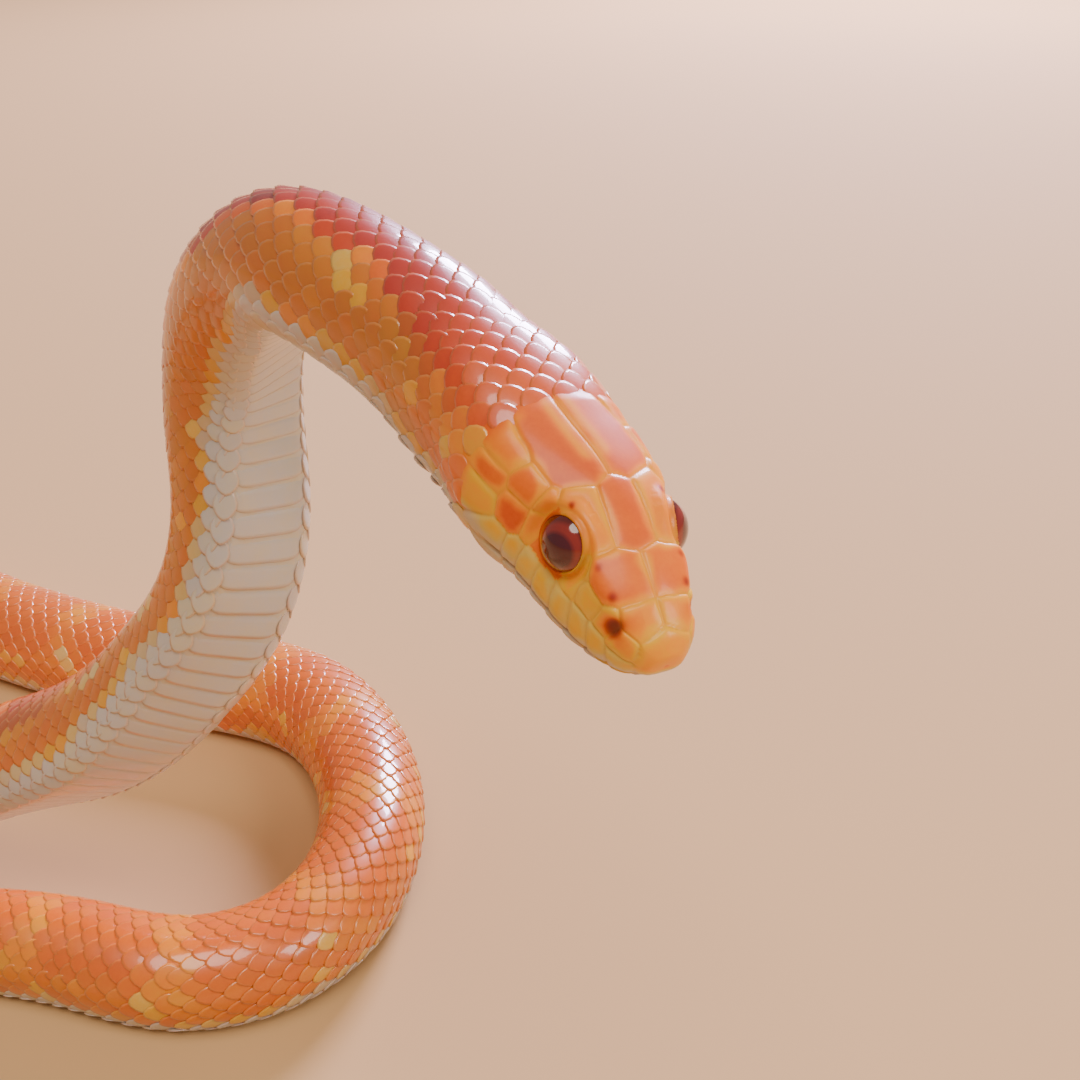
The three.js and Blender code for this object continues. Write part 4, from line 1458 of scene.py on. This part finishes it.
def lay_patches(piece: bpy.types.Object, length: float) -> None:
    """Gives each scale a small patch at its root's place on the skin's unwrap.

    Args:
        piece: a piece whose mesh has the attributes along, share, patch_x and patch_y.
        length: length of the whole skin in mm.
    """
    mesh = piece.data
    values = {}
    for key in ("along", "share", "patch_x", "patch_y"):
        values[key] = np.empty(len(mesh.vertices), np.float32)
        mesh.attributes[key].data.foreach_get("value", values[key])
    index = np.empty(len(mesh.loops), np.int32)
    mesh.loops.foreach_get("vertex_index", index)
    u = unwrap_along(values["along"], length)
    room = 1 - 2 * UV_MARGIN
    u = UV_MARGIN + room * (u - u.min()) / (u.max() - u.min()) + PATCH * values["patch_x"]
    v = UV_MARGIN + room * (values["share"] / 2 + 0.5) + PATCH * values["patch_y"]
    layer = mesh.uv_layers.new(name="OFBake")
    layer.data.foreach_set("uv", np.column_stack([u, v])[index].astype(np.float32).ravel())
    for key in ("along", "share", "patch_x", "patch_y", "turn", "size"):
        if key in mesh.attributes:
            mesh.attributes.remove(mesh.attributes[key])


@dataclass
class BellyPlates:
    """The wide plates under throat, belly and tail, each lapping the next (mm)."""

    surface: Surface
    markings: Markings
    rows: ScaleRows
    start: float = 25.0
    tail_start: float = 858.0
    end: float = 1008.0
    edge: float = 0.795
    segments: int = 20
    overlap: float = 1.14
    lift: float = 0.22
    sunk: float = -0.14
    root: float = -0.30
    # Half width of the overlap of the tail's pairs, as a share of the way round
    pair_lap: float = 0.01
    # Length at the plate's ends as a share of that at its middle
    end_length: float = 0.72
    # How fast the height falls away at the plate's ends
    end_fall: float = 1.5
    # Half way round at which a plate has its full thickness, and the least and most of it
    full_girth: float = 24 / 0.765
    thickness: tuple = (0.45, 1.0)
    # Room on the unwrap: height of one plate's patch, then length and width of all
    patch_share: float = 0.6
    uv_length: float = 0.97
    uv_width: float = 0.42

    def build(self, finish: bpy.types.Material) -> bpy.types.Object:
        """Makes all belly plates as one piece.

        Args:
            finish: their material.

        Returns:
            The finished piece.
        """
        points, faces, tints, rims, uvs = [], [], [], [], []
        s, count = self.start, 0
        while s < self.end:
            pitch = float(np.interp(s, *zip(*self.rows.pitch)))
            halves = [(self.edge, 2 - self.edge)]
            if s > self.tail_start:
                halves = [(self.edge, 1 + self.pair_lap), (1 - self.pair_lap, 2 - self.edge)]
            for half, (g0, g1) in enumerate(halves):
                shift = pitch / 2 if half else 0
                self.plate(s + shift, pitch, g0, g1, points, faces, tints, rims, uvs)
            s += pitch
            count += 1
        piece = make_mesh("belly_plates", np.concatenate(points), faces, {
            "tint": np.concatenate(tints), "rim": np.concatenate(rims)})
        index = np.empty(len(piece.data.loops), np.int32)
        piece.data.loops.foreach_get("vertex_index", index)
        layer = piece.data.uv_layers.new(name="OFBake")
        layer.data.foreach_set("uv", np.concatenate(uvs)[index].astype(np.float32).ravel())
        piece.data.materials.append(finish)
        log.info("belly plates: %d", count)
        return piece

    def plate(self, s: float, pitch: float, g0: float, g1: float, points: list, faces: list,
              tints: list, rims: list, uvs: list) -> None:
        """Adds one closed plate to the lists.

        Args:
            s: the plate's root, as distance from the snout in mm.
            pitch: distance to the next plate in mm.
            g0: share of the way round at its left end.
            g1: the same at its right end.
            points: places of all plates so far in mm.
            faces: their faces.
            tints: their colour values.
            rims: their painted highlight, along each plate's rear edge.
            uvs: their places on the unwrap.
        """
        surface = self.surface
        across = np.linspace(0, 1, self.segments + 1)
        bow = 1 - np.abs(2 * across - 1) ** 6
        girth = surface.girth(np.array([s]))
        thick = float(np.clip(girth[0] / self.full_girth, *self.thickness))
        share = np.mod(g0 + (g1 - g0) * across + 1, 2) - 1
        first = sum(len(p) for p in points)
        # Share of the plate's length, and height over the skin in mm
        rings = (
            (-0.10, self.sunk), (0.45, 0.08), (0.86, 0.21), (1.0, self.lift),
            (1.0, self.root), (-0.10, self.root),
        )
        for reach, height in rings:
            length = self.end_length + (1 - self.end_length) * bow
            place = s + pitch * self.overlap * (reach * length)
            place = np.minimum(place, surface.route.length - 0.3)
            base = surface.read(surface.place, place, share)
            normal = unit(surface.read(surface.normal, place, share))
            fall = 1 - self.end_fall * (1 - bow)
            level = (height if height < 0 else height * fall) * thick
            points.append(base + normal * np.reshape(level, (-1, 1)))
            tint = self.markings.tint(np.full(len(share), s), share, np.full(len(share), girth[0]))
            tints.append(tint)
            # A weak painted highlight along each plate's rear edge
            rims.append(np.full(len(share), 0.3 if reach > 0.9 else 0.0))
            u = unwrap_along(np.array([s]), surface.route.length)[0]
            u = UV_MARGIN + self.uv_length * (u + PATCH * (reach - 0.5) * self.patch_share)
            v = (g0 + (g1 - g0) * across) - self.edge
            v = UV_MARGIN + v * (1 - 2 * UV_MARGIN) / self.uv_width
            uvs.append(np.column_stack([np.full(len(share), u), v]))
        n = self.segments + 1
        for r in range(len(rings)):
            r2 = (r + 1) % len(rings)
            for k in range(self.segments):
                a, b = first + r * n + k, first + r2 * n + k
                faces.append((a, a + 1, b + 1, b))
        faces.append([first + r * n for r in range(len(rings))])
        faces.append([first + r * n + self.segments for r in reversed(range(len(rings)))])


@dataclass
class Eyeballs:
    """The two eyes under their clear spectacles."""

    eye: Eye
    route: Route
    form: Form
    rings: int = 40
    columns: int = 64
    # How far the ball lies inside the CAD's own
    inset: float = 0.02

    def build(self, side: Side, finish: bpy.types.Material) -> bpy.types.Object:
        """Makes one eyeball.

        Args:
            side: which eye.
            finish: its material.

        Returns:
            The eyeball.
        """
        centre = self.eye.centre(self.route, self.form, side)
        axis = Vector(self.eye.facing(self.route, self.form, side, self.eye.opening_faces))
        turn = np.array(axis.to_track_quat("Z", "Y").to_matrix())
        points = [[0, 0, 1]]
        for r in range(1, self.rings):
            tilt = math.pi * r / self.rings
            for k in range(self.columns):
                spin = 2 * math.pi * k / self.columns
                flat = math.sin(tilt)
                points.append([flat * math.cos(spin), flat * math.sin(spin), math.cos(tilt)])
        points.append([0, 0, -1])
        local = np.array(points)
        n, last = self.columns, len(points) - 1
        faces = [(0, 1 + k, 1 + (k + 1) % n) for k in range(n)]
        for r in range(self.rings - 2):
            for k in range(n):
                a, b, c = 1 + r * n + k, 1 + r * n + (k + 1) % n, n
                faces.append((a, a + c, b + c, b))
        faces += [(last, last - n + (k + 1) % n, last - n + k) for k in range(n)]
        gaze = self.eye.facing(self.route, self.form, side, self.eye.pupil_faces) @ turn
        ring = np.arccos(np.clip(local @ gaze, -1, 1)) / (math.pi / 2)
        placed = centre + local @ turn.T * (self.eye.radius - self.inset)
        name = f"{side.name.lower()}_eyeball"
        piece = make_mesh(name, placed, faces, {"ring": np.clip(ring, 0, 1)})
        piece.data.materials.append(finish)
        return piece


@dataclass(frozen=True)
class Studio:
    """Pale floor, soft lights and the photograph's camera (metres)."""

    camera_place: tuple = (0.1442, -0.1740, 0.1620)
    camera_pitch: float = 30.0
    lens: float = 39.0
    sensor: float = 36.0
    nearest: float = 0.005
    # Matt paper: it takes soft shadows and gives no highlight beside the animal's own
    floor_colour: str = "#C69C6A"
    floor_roughness: float = 0.9
    floor_half: float = 12.0
    # Name, place, aim, size, watts, colour
    lamps: tuple = (
        ("window_softbox", (0.82, 1.90, 1.10), (0.13, -0.06, 0.11), 0.70, 150.0, "#E2DAFF"),
        ("side_softbox", (0.75, -0.35, 0.50), (0.10, -0.05, 0.08), 0.30, 3.0, "#FFF8F0"),
    )
    # Soft light from overhead: direction, strength, angle it comes from, colour
    overhead: tuple = ((0.02, 0.30, -0.95), 2.1, 35, "#FFF6EA")
    room_colour: str = "#F4EEE6"
    room_strength: float = 0.34

    def build(self) -> None:
        """Makes the floor, the lamps, the world and the camera."""
        self.lay_floor()
        for name, place, aim, size, watts, colour in self.lamps:
            lamp = self.hang(name, "AREA", watts, colour, Vector(aim) - Vector(place))
            lamp.location = place
            lamp.data.shape = "SQUARE"
            lamp.data.size = size
        world = bpy.data.worlds.new("soft_room")
        world.use_nodes = True
        background = world.node_tree.nodes["Background"].inputs
        background["Color"].default_value = linear(self.room_colour)
        background["Strength"].default_value = self.room_strength
        bpy.context.scene.world = world
        way, strength, angle, colour = self.overhead
        sun = self.hang("overhead_diffuser", "SUN", strength, colour, Vector(way))
        sun.data.angle = math.radians(angle)
        self.set_camera()

    def lay_floor(self) -> None:
        """Lays the sheet of paper under the animal."""
        mesh = bpy.data.meshes.new("floor")
        half = self.floor_half
        corners = [(-half, -half, 0), (half, -half, 0), (half, half, 0), (-half, half, 0)]
        mesh.from_pydata(corners, [], [(0, 1, 2, 3)])
        floor = bpy.data.objects.new("floor", mesh)
        bpy.context.scene.collection.objects.link(floor)
        paper = bpy.data.materials.new("matt_paper_sweep")
        paper.use_nodes = True
        shader = paper.node_tree.nodes["Principled BSDF"]
        shader.inputs["Base Color"].default_value = linear(self.floor_colour)
        shader.inputs["Roughness"].default_value = self.floor_roughness
        mesh.materials.append(paper)

    def hang(self, name: str, kind: str, strength: float, colour: str,
             way: Vector) -> bpy.types.Object:
        """Adds one lamp.

        Args:
            name: the lamp's name.
            kind: AREA or SUN.
            strength: watts, or the sun's strength.
            colour: its hex colour.
            way: the direction in which it shines.

        Returns:
            The lamp, linked to the scene.
        """
        light = bpy.data.lights.new(name, kind)
        light.energy = strength
        light.color = linear(colour)[:3]
        lamp = bpy.data.objects.new(name, light)
        lamp.rotation_euler = way.to_track_quat("-Z", "Y").to_euler()
        bpy.context.scene.collection.objects.link(lamp)
        return lamp

    def set_camera(self) -> None:
        """Sets the camera where the photograph's stood."""
        lens = bpy.data.cameras.new("camera")
        lens.lens = self.lens
        lens.sensor_width = self.sensor
        lens.clip_start = self.nearest
        camera = bpy.data.objects.new("camera", lens)
        camera.location = self.camera_place
        camera.rotation_euler = Euler((math.radians(90 - self.camera_pitch), 0, 0))
        bpy.context.scene.collection.objects.link(camera)
        bpy.context.scene.camera = camera


def main() -> None:
    """Builds the snake, the floor, the lights and the camera."""
    logging.basicConfig(level=logging.INFO, format="%(message)s")
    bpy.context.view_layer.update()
    route, form, eye = Route(), Form(), Eye()
    surface = Surface(route, form)
    relief = HeadRelief(surface, form, eye)
    markings = Markings()
    scale_finish = SCALE_FINISH.build()
    Studio().build()
    skin = Skin(surface, relief, markings, EyeOpening()).build()
    skin.data.materials.append(HEAD_FINISH.build())
    log.info("skin: %d faces", len(skin.data.polygons))
    rows = ScaleRows(surface, markings, PlateShape())
    coat = rows.build(scale_finish)
    coat.append(BellyPlates(surface, markings, rows).build(scale_finish))
    eye_finish = EyeFinish().build()
    balls = Eyeballs(eye, route, form)
    eyes = {f"eye_{side.name.lower()}": balls.build(side, eye_finish) for side in BOTH_SIDES}
    for piece in [skin, *coat, *eyes.values()]:
        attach(piece, "root")
        log.info("%s: %d points", piece.name, len(piece.data.vertices))
    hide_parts(*FLESH_NODES)
    for node, ball in eyes.items():
        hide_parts(node)


if __name__ == "__main__":
    main()
